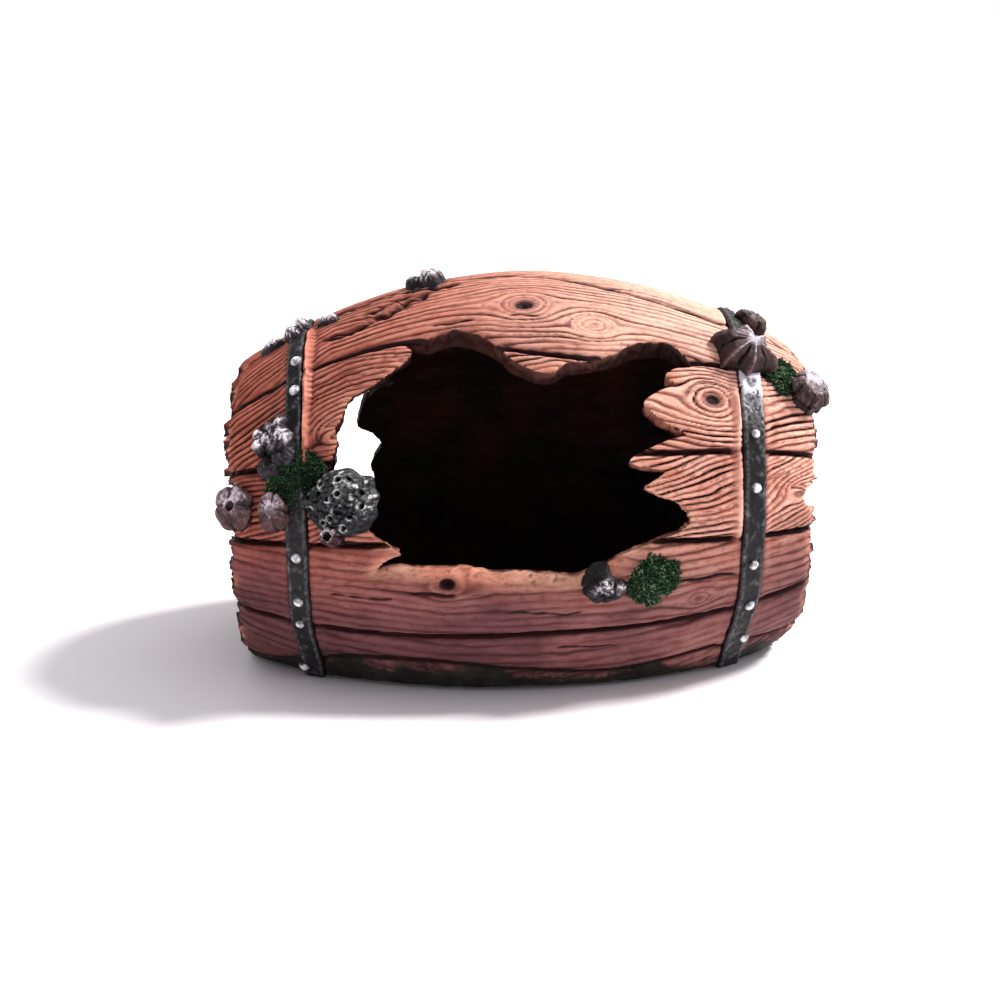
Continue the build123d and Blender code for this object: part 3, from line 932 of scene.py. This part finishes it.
def barnacle(plates, belly, mouth, filled, tilt):
    """A barnacle with upright plates round a mouth.

    belly above 1 makes it barrel-shaped, filled closes the mouth, and tilt leans it up the wall.
    """
    stations = (0.0, 0.12, 0.22, 0.28, 0.33, 0.5, 0.7, 0.88, 1.0)
    spread = (0.0, 0.6 * mouth, 0.92 * mouth, mouth, 1.12 * mouth, 0.78 * belly, 0.94 * belly, 0.98, 1.0)
    inside = 0.58 + 0.34 * filled
    rise = (inside, inside, 0.93, 1.0, 0.99, 0.8, 0.48, 0.2, -0.12)

    def shape(share, turn, half_x, half_round, height, noise):
        gap, phase = plate_gaps(turn, plates, noise)
        r, h = np.interp(share, stations, spread), np.interp(share, stations, rise)
        outside = step_up(share, 0.3, 0.4)
        groove = hump(gap, 0.09) * outside
        ribs = np.abs(np.sin(phase * np.pi * 3)) * outside
        r = r * (1 - 0.12 * groove + 0.012 * ribs)
        r = r * (1 + 0.16 * ripple(noise, turn, 1.5, share * 2))
        crown = hump(share - 0.29, 0.06)
        h = h + crown * (0.14 * np.sin(phase * np.pi) - 0.1)
        grain = layered(noise, np.cos(turn) * r * 4, np.sin(turn) * r * 4, h * 4)
        h = height * (h + 0.05 * grain)
        # painted light on the side facing up the wall, and painted shade on the side facing down
        upper = step_up(np.sin(turn), -0.6, 0.7)
        light = 0.8 * crown + 0.6 * upper * step_down(share, 0.4, 0.75) * (0.5 + 0.5 * ribs)
        light = light + 0.35 * grain + 0.5 * filled * step_down(share, 0.18, 0.26)
        dark = 0.7 * groove + (1 - filled) * step_down(share, 0.12, 0.26)
        dark = dark + 0.7 * step_up(share, 0.6, 0.95) + 0.3 * (1 - upper)
        u, v = r * half_x * np.cos(turn), r * half_round * np.sin(turn) + tilt * h
        return u, v, h, {"light": light * (1 - np.clip(dark, 0, 1)), "dark": dark}

    return shape


def star_barnacle(share, turn, half_x, half_round, height, noise):
    """A big closed barnacle: flat facets between ridges that meet in a star at its tip."""
    sides = 6
    gap, phase = plate_gaps(turn + 0.35, sides, noise)
    ridge = hump(gap, 0.085)
    flat = np.cos(np.pi / sides) / np.cos((phase - 0.5) * 2 * np.pi / sides)
    flat = flat**1.6 * (1 + 0.12 * ripple(noise, turn, 1, 6.0))
    stations = (0, 0.2, 0.5, 0.78, 0.92, 1)
    r = np.interp(share, stations, (0, 0.3, 0.74, 0.97, 1.0, 0.97)) * (flat + 0.05 * ridge)
    h = np.interp(share, stations, (1.0, 0.96, 0.78, 0.42, 0.12, -0.1))
    h = h + 0.1 * ridge * np.sin(np.pi * np.clip(share * 1.1, 0, 1))
    split = hump(phase - 0.5 + 0.1 * noise(share * 4, np.floor(turn), 3.0), 0.06)
    split = split * step_up(share, 0.18, 0.4) * step_down(share, 0.85, 0.97)
    h = h - 0.2 * split
    grain = layered(noise, np.cos(turn) * r * 2.6, np.sin(turn) * r * 2.6, 1.0)
    h = height * (h + 0.09 * grain * share)
    # painted light on the side facing up the wall, and painted shade on the side facing down
    upper = step_up(np.sin(turn), -0.2, 0.8)
    light = ridge * (0.1 + hump(share, 0.4)) + 1.2 * hump(share, 0.14)
    light = light + upper * step_up(grain, -0.2, 0.5) * 0.5 * step_down(share, 0.4, 0.75)
    dark = 1.1 * split + (0.45 + 0.4 * step_up(share, 0.3, 0.8)) * (1 - upper)
    u = (r * np.cos(turn) + 0.12 * (1 - share)) * half_x
    v = (r * np.sin(turn) + 0.2 * (1 - share)) * half_round
    return u, v, h, {"light": light * (1 - np.clip(split, 0, 1)), "dark": dark * (1 - ridge)}


def scattered(rng, count, spacing):
    """Random places in a unit disc, none nearer than spacing to another."""
    places = []
    for _ in range(count * 40):
        p = rng.uniform(-1, 1, 2)
        if p @ p < 1 and all((p - q) @ (p - q) > spacing**2 for q in places):
            places.append(p)
        if len(places) == count:
            break
    return np.array(places)


def nearest_two(u, v, places):
    """Distances to the nearest and second nearest of some places."""
    gaps = np.hypot(u[:, None] - places[None, :, 0], v[:, None] - places[None, :, 1])
    gaps.sort(axis=1)
    return gaps[:, 0], gaps[:, 1]


def rock(knobs, seed, sizes, on_top):
    """A cluster of knobbly stones, with painted light on their upper sides.

    sizes is the least and greatest share of the cluster that a stone takes up; on_top is 1 for a
    cluster on top of the barrel, which gets the painted light all over.
    """
    rng = np.random.default_rng(seed)
    places = scattered(rng, knobs, 0.3) * (1.2 - sizes[1])
    sizes = rng.uniform(*sizes, len(places))
    tall = rng.uniform(0.5, 1.0, len(places))
    tall[0] = 1.0
    chips = scattered(np.random.default_rng(seed + 1), 60, 0.12)

    def shape(share, turn, half_x, half_round, height, noise):
        edge = 1 + 0.18 * ripple(noise, turn, 1.6, 2.0)
        a, b = share * np.cos(turn) * edge, share * np.sin(turn) * edge
        bent_a, bent_b = a + 0.07 * noise(a * 3, b * 3, 4.0), b + 0.07 * noise(a * 3, b * 3, 8.0)
        h = 0.2 * dome(share) - 0.9
        for (pa, pb), size, top in zip(places, sizes, tall):
            gap = np.hypot(bent_a - pa, bent_b - pb) / size
            stone = top * dome(gap, 0.75) - 0.12 - 0.8 * np.clip(gap - 1, 0, 1)
            h = np.maximum(h, stone)
        near, second = nearest_two(bent_a, bent_b, chips)
        crack = step_up(near - second, -0.04, 0)
        h = h - 0.06 * crack
        grain = layered(noise, a * 6, b * 6, 1.0)
        h = h + 0.08 * grain * (1 - share**4)
        # painted light on the upper sides, and painted shade on the lower ones
        upper = np.maximum(step_up(b + 0.5 * h, 0.0, 0.75), on_top)
        light = step_up(h + 0.3 * grain, 0.35, 0.85) * upper * 1.1
        dark = step_down(h, 0.1, 0.4) + 0.7 * crack + 0.4 * (1 - upper)
        return a * half_x, b * half_round, h * height, {"light": light, "dark": dark * (1 - light)}

    return shape


def coral(seed):
    """A lump of small knobs with a few holes between them."""
    rng = np.random.default_rng(seed)
    knobs = scattered(rng, 210, 0.1)
    holes = scattered(rng, 16, 0.3) * 0.8
    lumps = ((0.0, 0.3, 0.7, 1.0), (-0.55, 0.1, 0.5, 0.8), (0.5, -0.2, 0.5, 0.85), (-0.05, -0.45, 0.6, 0.7))

    def shape(share, turn, half_x, half_round, height, noise):
        edge = 1 + 0.2 * ripple(noise, turn, 2, 2.0)
        a, b = share * np.cos(turn) * edge, share * np.sin(turn) * edge
        h = 0.5 * dome(share) - 0.1
        for lump_a, lump_b, size, top in lumps:
            gap = np.hypot(a - lump_a, b - lump_b) / size
            h = np.maximum(h, top * dome(gap, 0.45) * step_down(share, 0.85, 1) - 0.1)
        bent_a, bent_b = a + 0.03 * noise(a * 7, b * 7, 1.0), b + 0.03 * noise(a * 7, b * 7, 3.0)
        near, second = nearest_two(bent_a, bent_b, knobs)
        knob = dome(near / 0.075)
        hole, _ = nearest_two(bent_a, bent_b, holes)
        pit, rim = hump(hole, 0.055), hump(hole - 0.095, 0.035)
        h = h + 0.075 * knob * step_down(share, 0.85, 0.98) - 0.2 * pit + 0.05 * rim
        h = h + 0.12 * layered(noise, a * 3.5, b * 3.5, 6.0) * (1 - share**6)
        # painted light on the upper right of the lump; the dark between the knobs is deeper elsewhere as
        # painted shade
        upper = step_up(0.5 * a + b, -0.3, 0.6)
        pick = step_up(noise(np.floor(bent_a / 0.1) * 3.1, np.floor(bent_b / 0.1) * 2.3, 9.0), 0.15, 0.5)
        light = step_up(knob, 0.35, 0.9) * (0.12 + 0.75 * upper) * (0.08 + 0.92 * pick)
        light = np.maximum(light, 0.8 * rim * step_up(noise(a * 3, b * 3, 5.0), 0.0, 0.2))
        dark = np.maximum((1 - step_up(knob, 0.0, 0.5)) * (1 - 0.4 * upper), pit)
        return a * half_x, b * half_round, h * height, {"light": light * (1 - pit), "dark": dark}

    return shape


def make_moss(name, blades, material, seed):
    """A low mound covered with small pointed leaves."""
    rng = np.random.default_rng(seed)
    noise = make_noise(seed + 1)
    x, angle, half_x, half_round, height = GROWTHS[name]

    def mound(a, b):
        return dome(np.hypot(a, b), 0.6) * (0.5 + 0.22 * layered(noise, a * 3, b * 3, 1.0)) - 0.12

    def rim(turn):
        return 1 + 0.34 * ripple(noise, turn, 1.7, 3.0)

    share, turn, fan, quads, edge = polar_grid(30, 90)
    a, b = share * np.cos(turn), share * np.sin(turn)
    h = np.where(share > 0.97, -SUNK, mound(a, b) * height)
    place = (x, angle)
    points = on_wall(place, a * rim(turn) * half_x, b * rim(turn) * half_round, h)
    points, faces = closed_patch(place, SUNK + BASE, points, fan, quads, edge)

    turn = rng.uniform(0, 2 * np.pi, blades)
    share = np.sqrt(rng.uniform(0, 1, blades)) * 0.98
    a, b = share * np.cos(turn), share * np.sin(turn)
    root_u, root_v = a * rim(turn) * half_x, b * rim(turn) * half_round
    root_h = mound(a, b) * height - 0.15
    length = rng.uniform(0.5, 1.25, blades)
    lean = rng.normal(0, 0.45, (blades, 2)) + 0.35 * np.stack([a, b], 1)
    curl = rng.normal(0, 0.5, (blades, 2))
    thick = rng.uniform(0.16, 0.3, blades)
    tone = rng.uniform(0, 1, blades)
    rings = []
    for level, wide in ((0.0, 1.0), (0.5, 0.9), (0.8, 0.5)):
        bent = (lean * level + 0.6 * curl * level**2) * length[:, None]
        for corner in range(3):
            spin = tone * 20 + corner * 2 * np.pi / 3
            u = root_u + bent[:, 0] + thick * wide * np.cos(spin)
            v = root_v + bent[:, 1] + thick * wide * np.sin(spin)
            rings.append(on_wall(place, u, v, root_h + length * level))
    bent = (lean + 0.6 * curl) * length[:, None]
    rings.append(on_wall(place, root_u + bent[:, 0], root_v + bent[:, 1], root_h + length * 0.95))
    levels = [0.0] * 3 + [0.5] * 3 + [0.8] * 3 + [1.0]

    count = len(points)
    first = count + len(levels) * np.arange(blades)
    for level in (0, 3):
        for c in range(3):
            d = (c + 1) % 3
            corners = (level + c, level + d, level + 3 + d, level + 3 + c)
            faces.append(np.stack([first + corner for corner in corners], 1))
    for corners in ((6, 7, 9), (7, 8, 9), (8, 6, 9), (2, 1, 0)):
        faces.append(np.stack([first + corner for corner in corners], 1))
    points = above_ground(np.concatenate([points, np.stack(rings, 1).reshape(-1, 3)]))
    marks = {
        "tip": np.concatenate([np.zeros(count), np.tile(levels, blades)]),
        "tone": np.concatenate([np.full(count, 0.2), np.repeat(tone, len(levels))]),
    }
    piece = add_mesh(name + "_tufts", points, faces, marks, material)
    stand_for(piece, name)


def make_growths(barnacle_paint, rock_paint, coral_paint, moss_paint):
    for name, seed, shape in (
        ("hoop_barnacle_large", 301, star_barnacle),
        ("hoop_barnacle_small", 302, barnacle(5, 1.05, 0.34, filled=0.5, tilt=0.1)),
        ("rim_barnacle_right", 303, barnacle(7, 1.25, 0.62, filled=1.0, tilt=0.45)),
        ("rim_barnacle_left", 304, barnacle(4, 1.2, 0.28, filled=0.3, tilt=0.5)),
        ("left_barnacle", 305, barnacle(5, 1.2, 0.3, filled=0.9, tilt=0.6)),
        ("coral_barnacle", 306, barnacle(6, 1.15, 0.5, filled=0.2, tilt=0.3)),
    ):
        make_patch(name, "_plated", barnacle_paint, shape, seed)
    for name, knobs, seed, sizes in (
        ("left_rock", 12, 311, (0.28, 0.46)),
        ("front_rock", 9, 312, (0.32, 0.5)),
        ("top_rock", 6, 313, (0.36, 0.58)),
        ("hoop_rock", 3, 314, (0.55, 0.75)),
        ("shoulder_rock", 3, 315, (0.5, 0.75)),
        ("stave_rock", 3, 316, (0.5, 0.7)),
    ):
        # a rock on top of the barrel gets the painted light all over
        on_top = float(GROWTHS[name][1] > 80)
        shape = rock(knobs, seed, sizes, on_top)
        make_patch(name, "_knobbed", rock_paint, shape, seed)
    make_patch("left_coral", "_pitted", coral_paint, coral(321), 321, rings=110, sectors=260)
    make_moss("left_moss", 1500, moss_paint, 331)
    make_moss("front_moss", 1000, moss_paint, 332)
    make_moss("right_moss", 800, moss_paint, 333)


# ---------------------------------------------------------------- heads

BOARD_STEP = 0.4  # between points across a board
BOARD_ROWS = 120
BOARD_RINGS = 4


def make_head_board(node, side, seed, wood):
    """An upright board of a barrel end."""
    noise = make_noise(seed)
    low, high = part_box(node)
    low, high = np.array(low) / MM, np.array(high) / MM
    outer_x, inner_x = (high[0], low[0]) if side > 0 else (low[0], high[0])
    reach = radius(outer_x) - WALL - 0.12
    middle = axis_height(outer_x)
    columns = int((high[1] - low[1]) / BOARD_STEP)
    y = np.linspace(low[1] + 0.05, high[1] - 0.05, columns)[None, :]
    arch = reach * np.sqrt(np.clip(1 - (y / (DEPTH_RATIO * reach)) ** 2, 0, 1))
    top = middle + arch
    foot = np.maximum(middle - arch, low[2])
    t = np.linspace(0, 1, BOARD_ROWS)[:, None]
    z = foot + (top - foot) * t
    y = y + 0 * z
    across = y - y.mean()
    field = (across + 1.2 * noise(z * 0.03, across * 0.08, 1.0)) / 1.9 + 0.2 * noise(z * 0.2, across, 4.0)
    phase = field - np.floor(field)
    valley = hump(np.minimum(phase, 1 - phase), 0.16)
    strength = np.clip(0.6 + 0.7 * noise(z * 0.05, np.floor(field + 0.5) * 2.3, 6.0), 0.1, 1.1)
    edge_gap = np.minimum(y - low[1], high[1] - y)
    seam = hump(edge_gap, 0.7)
    dent = 0.3 * noise(z * 0.05, across * 0.15, 8.0) - 0.45 * valley * strength - 0.7 * seam - 0.25
    dark = np.clip(np.maximum(valley * strength, step_up(seam, 0.1, 0.7)), 0, 1)
    outer = np.stack([outer_x + side * dent, y, z], -1)
    inner = np.stack([inner_x - side * 0.6 * dent, y, z], -1)
    rows, columns = z.shape
    index = np.arange(rows * columns).reshape(rows, columns)
    quads = np.stack([index[:-1, :-1], index[:-1, 1:], index[1:, 1:], index[1:, :-1]], -1).reshape(-1, 4)
    if side < 0:
        quads = quads[:, ::-1]
    points, faces, _, _ = thick_shell(outer.reshape(-1, 3), inner.reshape(-1, 3), quads, BOARD_RINGS)
    edge = len(points) - 2 * z.size
    marks = {
        "dark": np.concatenate([dark.ravel(), dark.ravel() * 0.7, np.full(edge, 0.7)]),
        "raw": np.zeros(len(points)),
        "crest": np.zeros(len(points)),
        "inside": np.concatenate([np.full(z.size, 0.12), np.ones(z.size), np.full(edge, 0.6)]),
    }
    piece = add_mesh(node + "_planed", points, faces, marks, wood)
    stand_for(piece, node)


# ---------------------------------------------------------------- materials


class Nodes:
    """A short way to build the node tree of a material or a world."""

    def __init__(self, owner):
        owner.use_nodes = True
        self.owner = owner
        self.tree = owner.node_tree

    def add(self, kind, inputs=None, **settings):
        node = self.tree.nodes.new(kind)
        for key, value in settings.items():
            setattr(node, key, value)
        for key, value in (inputs or {}).items():
            self.put(value, node.inputs[key])
        return node

    def put(self, value, socket):
        if isinstance(value, bpy.types.NodeSocket):
            self.tree.links.new(value, socket)
        else:
            socket.default_value = value

    def mark(self, name):
        return self.add("ShaderNodeAttribute", attribute_name=name).outputs["Fac"]

    def place(self, stretch=(1, 1, 1)):
        coordinates = self.add("ShaderNodeTexCoord").outputs["Object"]
        return self.add("ShaderNodeMapping", {"Vector": coordinates, "Scale": stretch}).outputs[0]

    def part(self, vector, axis):
        return self.add("ShaderNodeSeparateXYZ", {"Vector": vector}).outputs[axis]

    def reach(self, axis, low, high):
        """How far a point of the object is from low to high along an axis, in millimetres."""
        return self.fit(self.part(self.place(), axis), low * MM, high * MM)

    def noise(self, scale, detail=4, stretch=(1, 1, 1), rough=0.55):
        inputs = {"Vector": self.place(stretch), "Scale": scale, "Detail": detail, "Roughness": rough}
        return self.add("ShaderNodeTexNoise", inputs).outputs["Fac"]

    def math(self, operation, a, b, clamp=False):
        node = self.add("ShaderNodeMath", {0: a, 1: b}, operation=operation, use_clamp=clamp)
        return node.outputs[0]

    def times(self, a, b, clamp=False):
        return self.math("MULTIPLY", a, b, clamp)

    def plus(self, a, b, clamp=False):
        return self.math("ADD", a, b, clamp)

    def fit(self, value, low, high, to_low=0.0, to_high=1.0):
        inputs = {"Value": value, "From Min": low, "From Max": high, "To Min": to_low, "To Max": to_high}
        return self.add("ShaderNodeMapRange", inputs).outputs[0]

    def mix(self, share, a, b):
        node = self.add("ShaderNodeMix", data_type="RGBA")
        self.put(share, node.inputs["Factor"])
        self.put(a, node.inputs[6])
        self.put(b, node.inputs[7])
        return node.outputs[2]

    def bump(self, height, strength, distance):
        """distance is in millimetres."""
        inputs = {"Height": height, "Strength": strength, "Distance": distance * MM}
        return self.add("ShaderNodeBump", inputs).outputs[0]

    def finish(self, colour, roughness, specular, normal=None):
        """The material, with its shader's sockets filled."""
        shader = self.tree.nodes["Principled BSDF"]
        self.put(colour, shader.inputs["Base Color"])
        self.put(roughness, shader.inputs["Roughness"])
        if normal is not None:
            self.put(normal, shader.inputs["Normal"])
        shader.inputs["Specular IOR Level"].default_value = specular
        return self.owner


def paint(red, green, blue):
    """A colour given as it looks on a screen, from 0 to 255, as the shader takes it."""
    share = [c / 255 for c in (red, green, blue)]
    linear = [c / 12.92 if c <= 0.04045 else ((c + 0.055) / 1.055) ** 2.4 for c in share]
    return (*linear, 1.0)


def new_material(name):
    return Nodes(bpy.data.materials.new(name))


def wood_material():
    """Wood brushed pale over dark grooves and grimy below; painted shade makes it redder at the left and
    purple-brown low down, and painted light makes it paler at the upper right.
    """
    n = new_material("painted_wood")
    along = (0.22, 1, 1)
    patches = n.fit(n.noise(45, 3), 0.35, 0.68)
    streaks = n.fit(n.noise(420, 4, along), 0.36, 0.66)
    # painted shade and light along the barrel: the wood is darker and redder to the left, and brighter to
    # the right
    lengthways = n.reach("X", -72, 30)
    left = n.mix(patches, paint(112, 44, 34), paint(150, 68, 54))
    warm = n.mix(lengthways, left, n.mix(patches, paint(160, 70, 56), paint(196, 106, 88)))
    # painted shade: a purple-brown for the low front of the wall, which faces away from the light
    painted_shade_low = n.mix(patches, paint(70, 36, 41), paint(94, 53, 58))
    # painted light: a cream pool of light on the top at the upper right
    sunlit = n.times(n.reach("Z", 66, 96), n.reach("X", -20, 50))
    warm = n.mix(n.times(sunlit, 0.75), warm, paint(240, 196, 178))
    # rise mixes from the painted shade low down to the warm wood above, both for the base and for the pale
    # brush
    rise = n.plus(n.reach("Z", 22, 52), n.fit(n.noise(30, 3), 0.3, 0.7, -0.25, 0.25), clamp=True)
    base = n.mix(rise, painted_shade_low, warm)
    # painted light: the pale brush is paler to the right
    upper_pale = n.mix(lengthways, paint(202, 118, 96), paint(250, 202, 180))
    pale = n.mix(rise, paint(128, 82, 86), upper_pale)
    uneven = n.fit(n.noise(150, 4, (0.4, 1, 1)), 0.3, 0.62, 0.25, 1.0)
    brushed = n.times(n.mark("crest"), uneven)
    base = n.mix(n.times(streaks, 0.35), base, pale)
    base = n.mix(n.times(brushed, 0.85), base, pale)
    bare = n.mix(patches, paint(206, 120, 88), paint(236, 186, 160))
    base = n.mix(n.times(n.mark("raw"), 0.85), base, bare)
    speckle = n.fit(n.noise(900, 2, (0.5, 1, 1)), 0.52, 0.66)
    base = n.mix(n.times(speckle, 0.35), base, paint(90, 38, 34))
    # dark paint in the grooves, seams and cracks, and painted shade on the wall of the break's upper edge
    dark = n.fit(n.mark("dark"), 0.08, 0.72)
    base = n.mix(dark, base, paint(38, 12, 13))
    grime_edge = n.plus(n.reach("Z", 1, 13), n.fit(n.noise(60, 5, rough=0.7), 0.3, 0.7, -0.5, 0.5))
    grime = n.fit(grime_edge, 0.32, 0.56, 0.95, 0.0)
    dirt = n.mix(n.fit(n.noise(140, 3), 0.4, 0.65), paint(17, 15, 16), paint(34, 38, 31))
    base = n.mix(grime, base, dirt)
    # the inside's dark paint, also laid on the wall of the break's upper edge as painted shade
    deep = n.mix(n.fit(n.noise(70, 4), 0.4, 0.7), paint(24, 10, 8), paint(58, 24, 17))
    base = n.mix(n.mark("inside"), base, deep)
    height = n.plus(n.noise(1100, 4, (0.18, 1, 1)), n.times(n.noise(2600, 3), 0.35))
    rough = n.fit(n.noise(300, 3), 0.3, 0.7, 0.5, 0.72)
    return n.finish(base, rough, 0.14, n.bump(height, 0.6, 0.25))


def inner_wood_material():
    """Dark wood for the staves and the slab that face the ground."""
    n = new_material("shaded_wood")
    streaks = n.fit(n.noise(300, 4, (0.2, 1, 1)), 0.36, 0.66)
    base = n.mix(streaks, paint(34, 17, 14), paint(72, 38, 32))
    base = n.mix(n.fit(n.noise(70, 4), 0.4, 0.7), base, paint(24, 14, 12))
    height = n.plus(n.noise(900, 4, (0.18, 1, 1)), n.times(n.noise(200, 3), 1.5))
    return n.finish(base, 0.75, 0.3, n.bump(height, 0.6, 0.4))


def dry_brush_and_painted_light(name, dark, middle, light, light_share, specular):
    """Dark paint with pale paint brushed over the raised parts; on the growths the light and dark marks
    also hold painted light and painted shade, and on the right hoop the light mark holds a painted
    highlight.
    """
    n = new_material(name)
    patches = n.fit(n.noise(260, 4), 0.36, 0.66)
    base = n.mix(patches, paint(*dark), paint(*middle))
    broken = n.fit(n.noise(1040, 3), 0.34, 0.62)
    share = n.times(n.mark("light"), n.times(broken, light_share), clamp=True)
    share = n.plus(share, n.times(n.math("POWER", n.mark("light"), 3.0), 0.8), clamp=True)
    base = n.mix(share, base, paint(*light))
    base = n.mix(n.times(n.mark("dark"), 0.9), base, paint(16, 12, 13))
    height = n.plus(n.noise(1500, 4), n.times(n.noise(500, 3), 0.8))
    rough = n.fit(n.noise(400, 3), 0.3, 0.7, 0.4, 0.65)
    return n.finish(base, rough, specular, n.bump(height, 0.45, 0.2))


def moss_material():
    n = new_material("moss_paint")
    tone = n.plus(n.mark("tone"), n.fit(n.noise(160, 3), 0.35, 0.65, -0.35, 0.35))
    low = n.mix(tone, paint(8, 12, 10), paint(12, 26, 17))
    high = n.mix(n.fit(tone, 0.2, 0.85), paint(18, 44, 28), paint(52, 108, 50))
    high = n.mix(n.fit(tone, 0.95, 1.15), high, paint(150, 176, 146))
    base = n.mix(n.math("POWER", n.mark("tip"), 1.6), low, high)
    return n.finish(base, 0.7, 0.3, n.bump(n.noise(2500, 3), 0.4, 0.1))


# ---------------------------------------------------------------- stage


FLOOR_HALF = 60.0  # metres, so its far edge is the horizon


def make_stage():
    """A pale floor under a soft studio sky, white behind the object and darker at the front left."""
    mesh = bpy.data.meshes.new("floor")
    corners = [(a * FLOOR_HALF, b * FLOOR_HALF, 0) for a, b in ((-1, -1), (1, -1), (1, 1), (-1, 1))]
    mesh.from_pydata(corners, [], [(0, 1, 2, 3)])
    mesh.materials.append(new_material("floor").finish(paint(250, 247, 251), 0.95, 0.0))
    add_object("floor", mesh)
    n = Nodes(bpy.data.worlds.new("studio"))
    direction = n.add("ShaderNodeTexCoord").outputs["Generated"]
    slope = n.add("ShaderNodeVectorMath", {0: direction, 1: (0.55, 1.0, 0.45)}, operation="DOT_PRODUCT")
    bright = n.fit(slope.outputs["Value"], -0.5, 0.5)
    near_floor = n.fit(n.part(direction, "Z"), 0.32, 0.1)
    share = n.math("MAXIMUM", bright, near_floor)
    sky = n.mix(share, (0.2, 0.17, 0.2, 1.0), (1.0, 1.0, 1.0, 1.0))
    n.put(sky, n.tree.nodes["Background"].inputs["Color"])
    bpy.context.scene.world = n.owner
    bpy.context.scene.view_settings.view_transform = "Standard"


def add_sun(source, strength, spread, colour):
    """A soft key light that shines from the direction of source."""
    light = bpy.data.lights.new("key", "SUN")
    light.energy = strength
    light.angle = math.radians(spread)
    light.color = colour
    add_object("key", light).rotation_euler = Vector(source).to_track_quat("Z", "Y").to_euler()


def add_camera():
    """The camera stands a little left of the middle and looks slightly down."""
    target = Vector((-4.8, 0.0, 39.2)) * MM
    distance, yaw, down = 0.42, 0.047, 0.291
    aim = Vector((math.sin(yaw) * math.cos(down), math.cos(yaw) * math.cos(down), -math.sin(down)))
    data = bpy.data.cameras.new("camera")
    data.sensor_width = 36
    data.lens = 55.6
    data.clip_start, data.clip_end = 0.01, 50
    camera = add_object("camera", data)
    camera.location = target - aim * distance
    camera.rotation_euler = aim.to_track_quat("-Z", "Y").to_euler()
    bpy.context.scene.camera = camera


def main():
    """Everything in the scene."""
    add_camera()
    make_stage()
    add_sun((0.62, 0.16, 0.72), 5.2, 14, (1.0, 0.965, 0.93))
    wood = wood_material()
    dark_wood = inner_wood_material()
    iron = dry_brush_and_painted_light("iron_paint", (6, 5, 7), (17, 14, 18), (196, 194, 204), 0.75, 0.25)
    metal = dry_brush_and_painted_light("rivet_paint", (46, 44, 50), (104, 100, 108), (232, 232, 238), 1.2, 0.5)
    barnacles = dry_brush_and_painted_light("barnacle_paint", (42, 20, 20), (98, 58, 56), (206, 194, 206), 1.1, 0.25)
    rocks = dry_brush_and_painted_light("rock_paint", (24, 19, 26), (66, 54, 66), (222, 214, 220), 1.3, 0.3)
    corals = dry_brush_and_painted_light("coral_paint", (9, 12, 18), (30, 38, 46), (190, 190, 186), 1.2, 0.3)
    for number in STAVE_LOOKS:
        make_stave(number, wood)
    for number, node in enumerate(HOOPS):
        make_hoop(node, iron, 401 + number)
    for number, node in enumerate(HOOPS):
        make_rivets(node, metal, 411 + number)
    make_growths(barnacles, rocks, corals, moss_material())
    for side, end in ((-1, "left"), (1, "right")):
        for board in range(1, 6):
            make_head_board(f"{end}_head_board_{board}", side, 500 + 10 * side + board, wood)
    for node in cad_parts.values():  # the CAD nodes that no piece stands for
        if not node.hide_render:
            node.data.materials.clear()
            node.data.materials.append(dark_wood)


main()
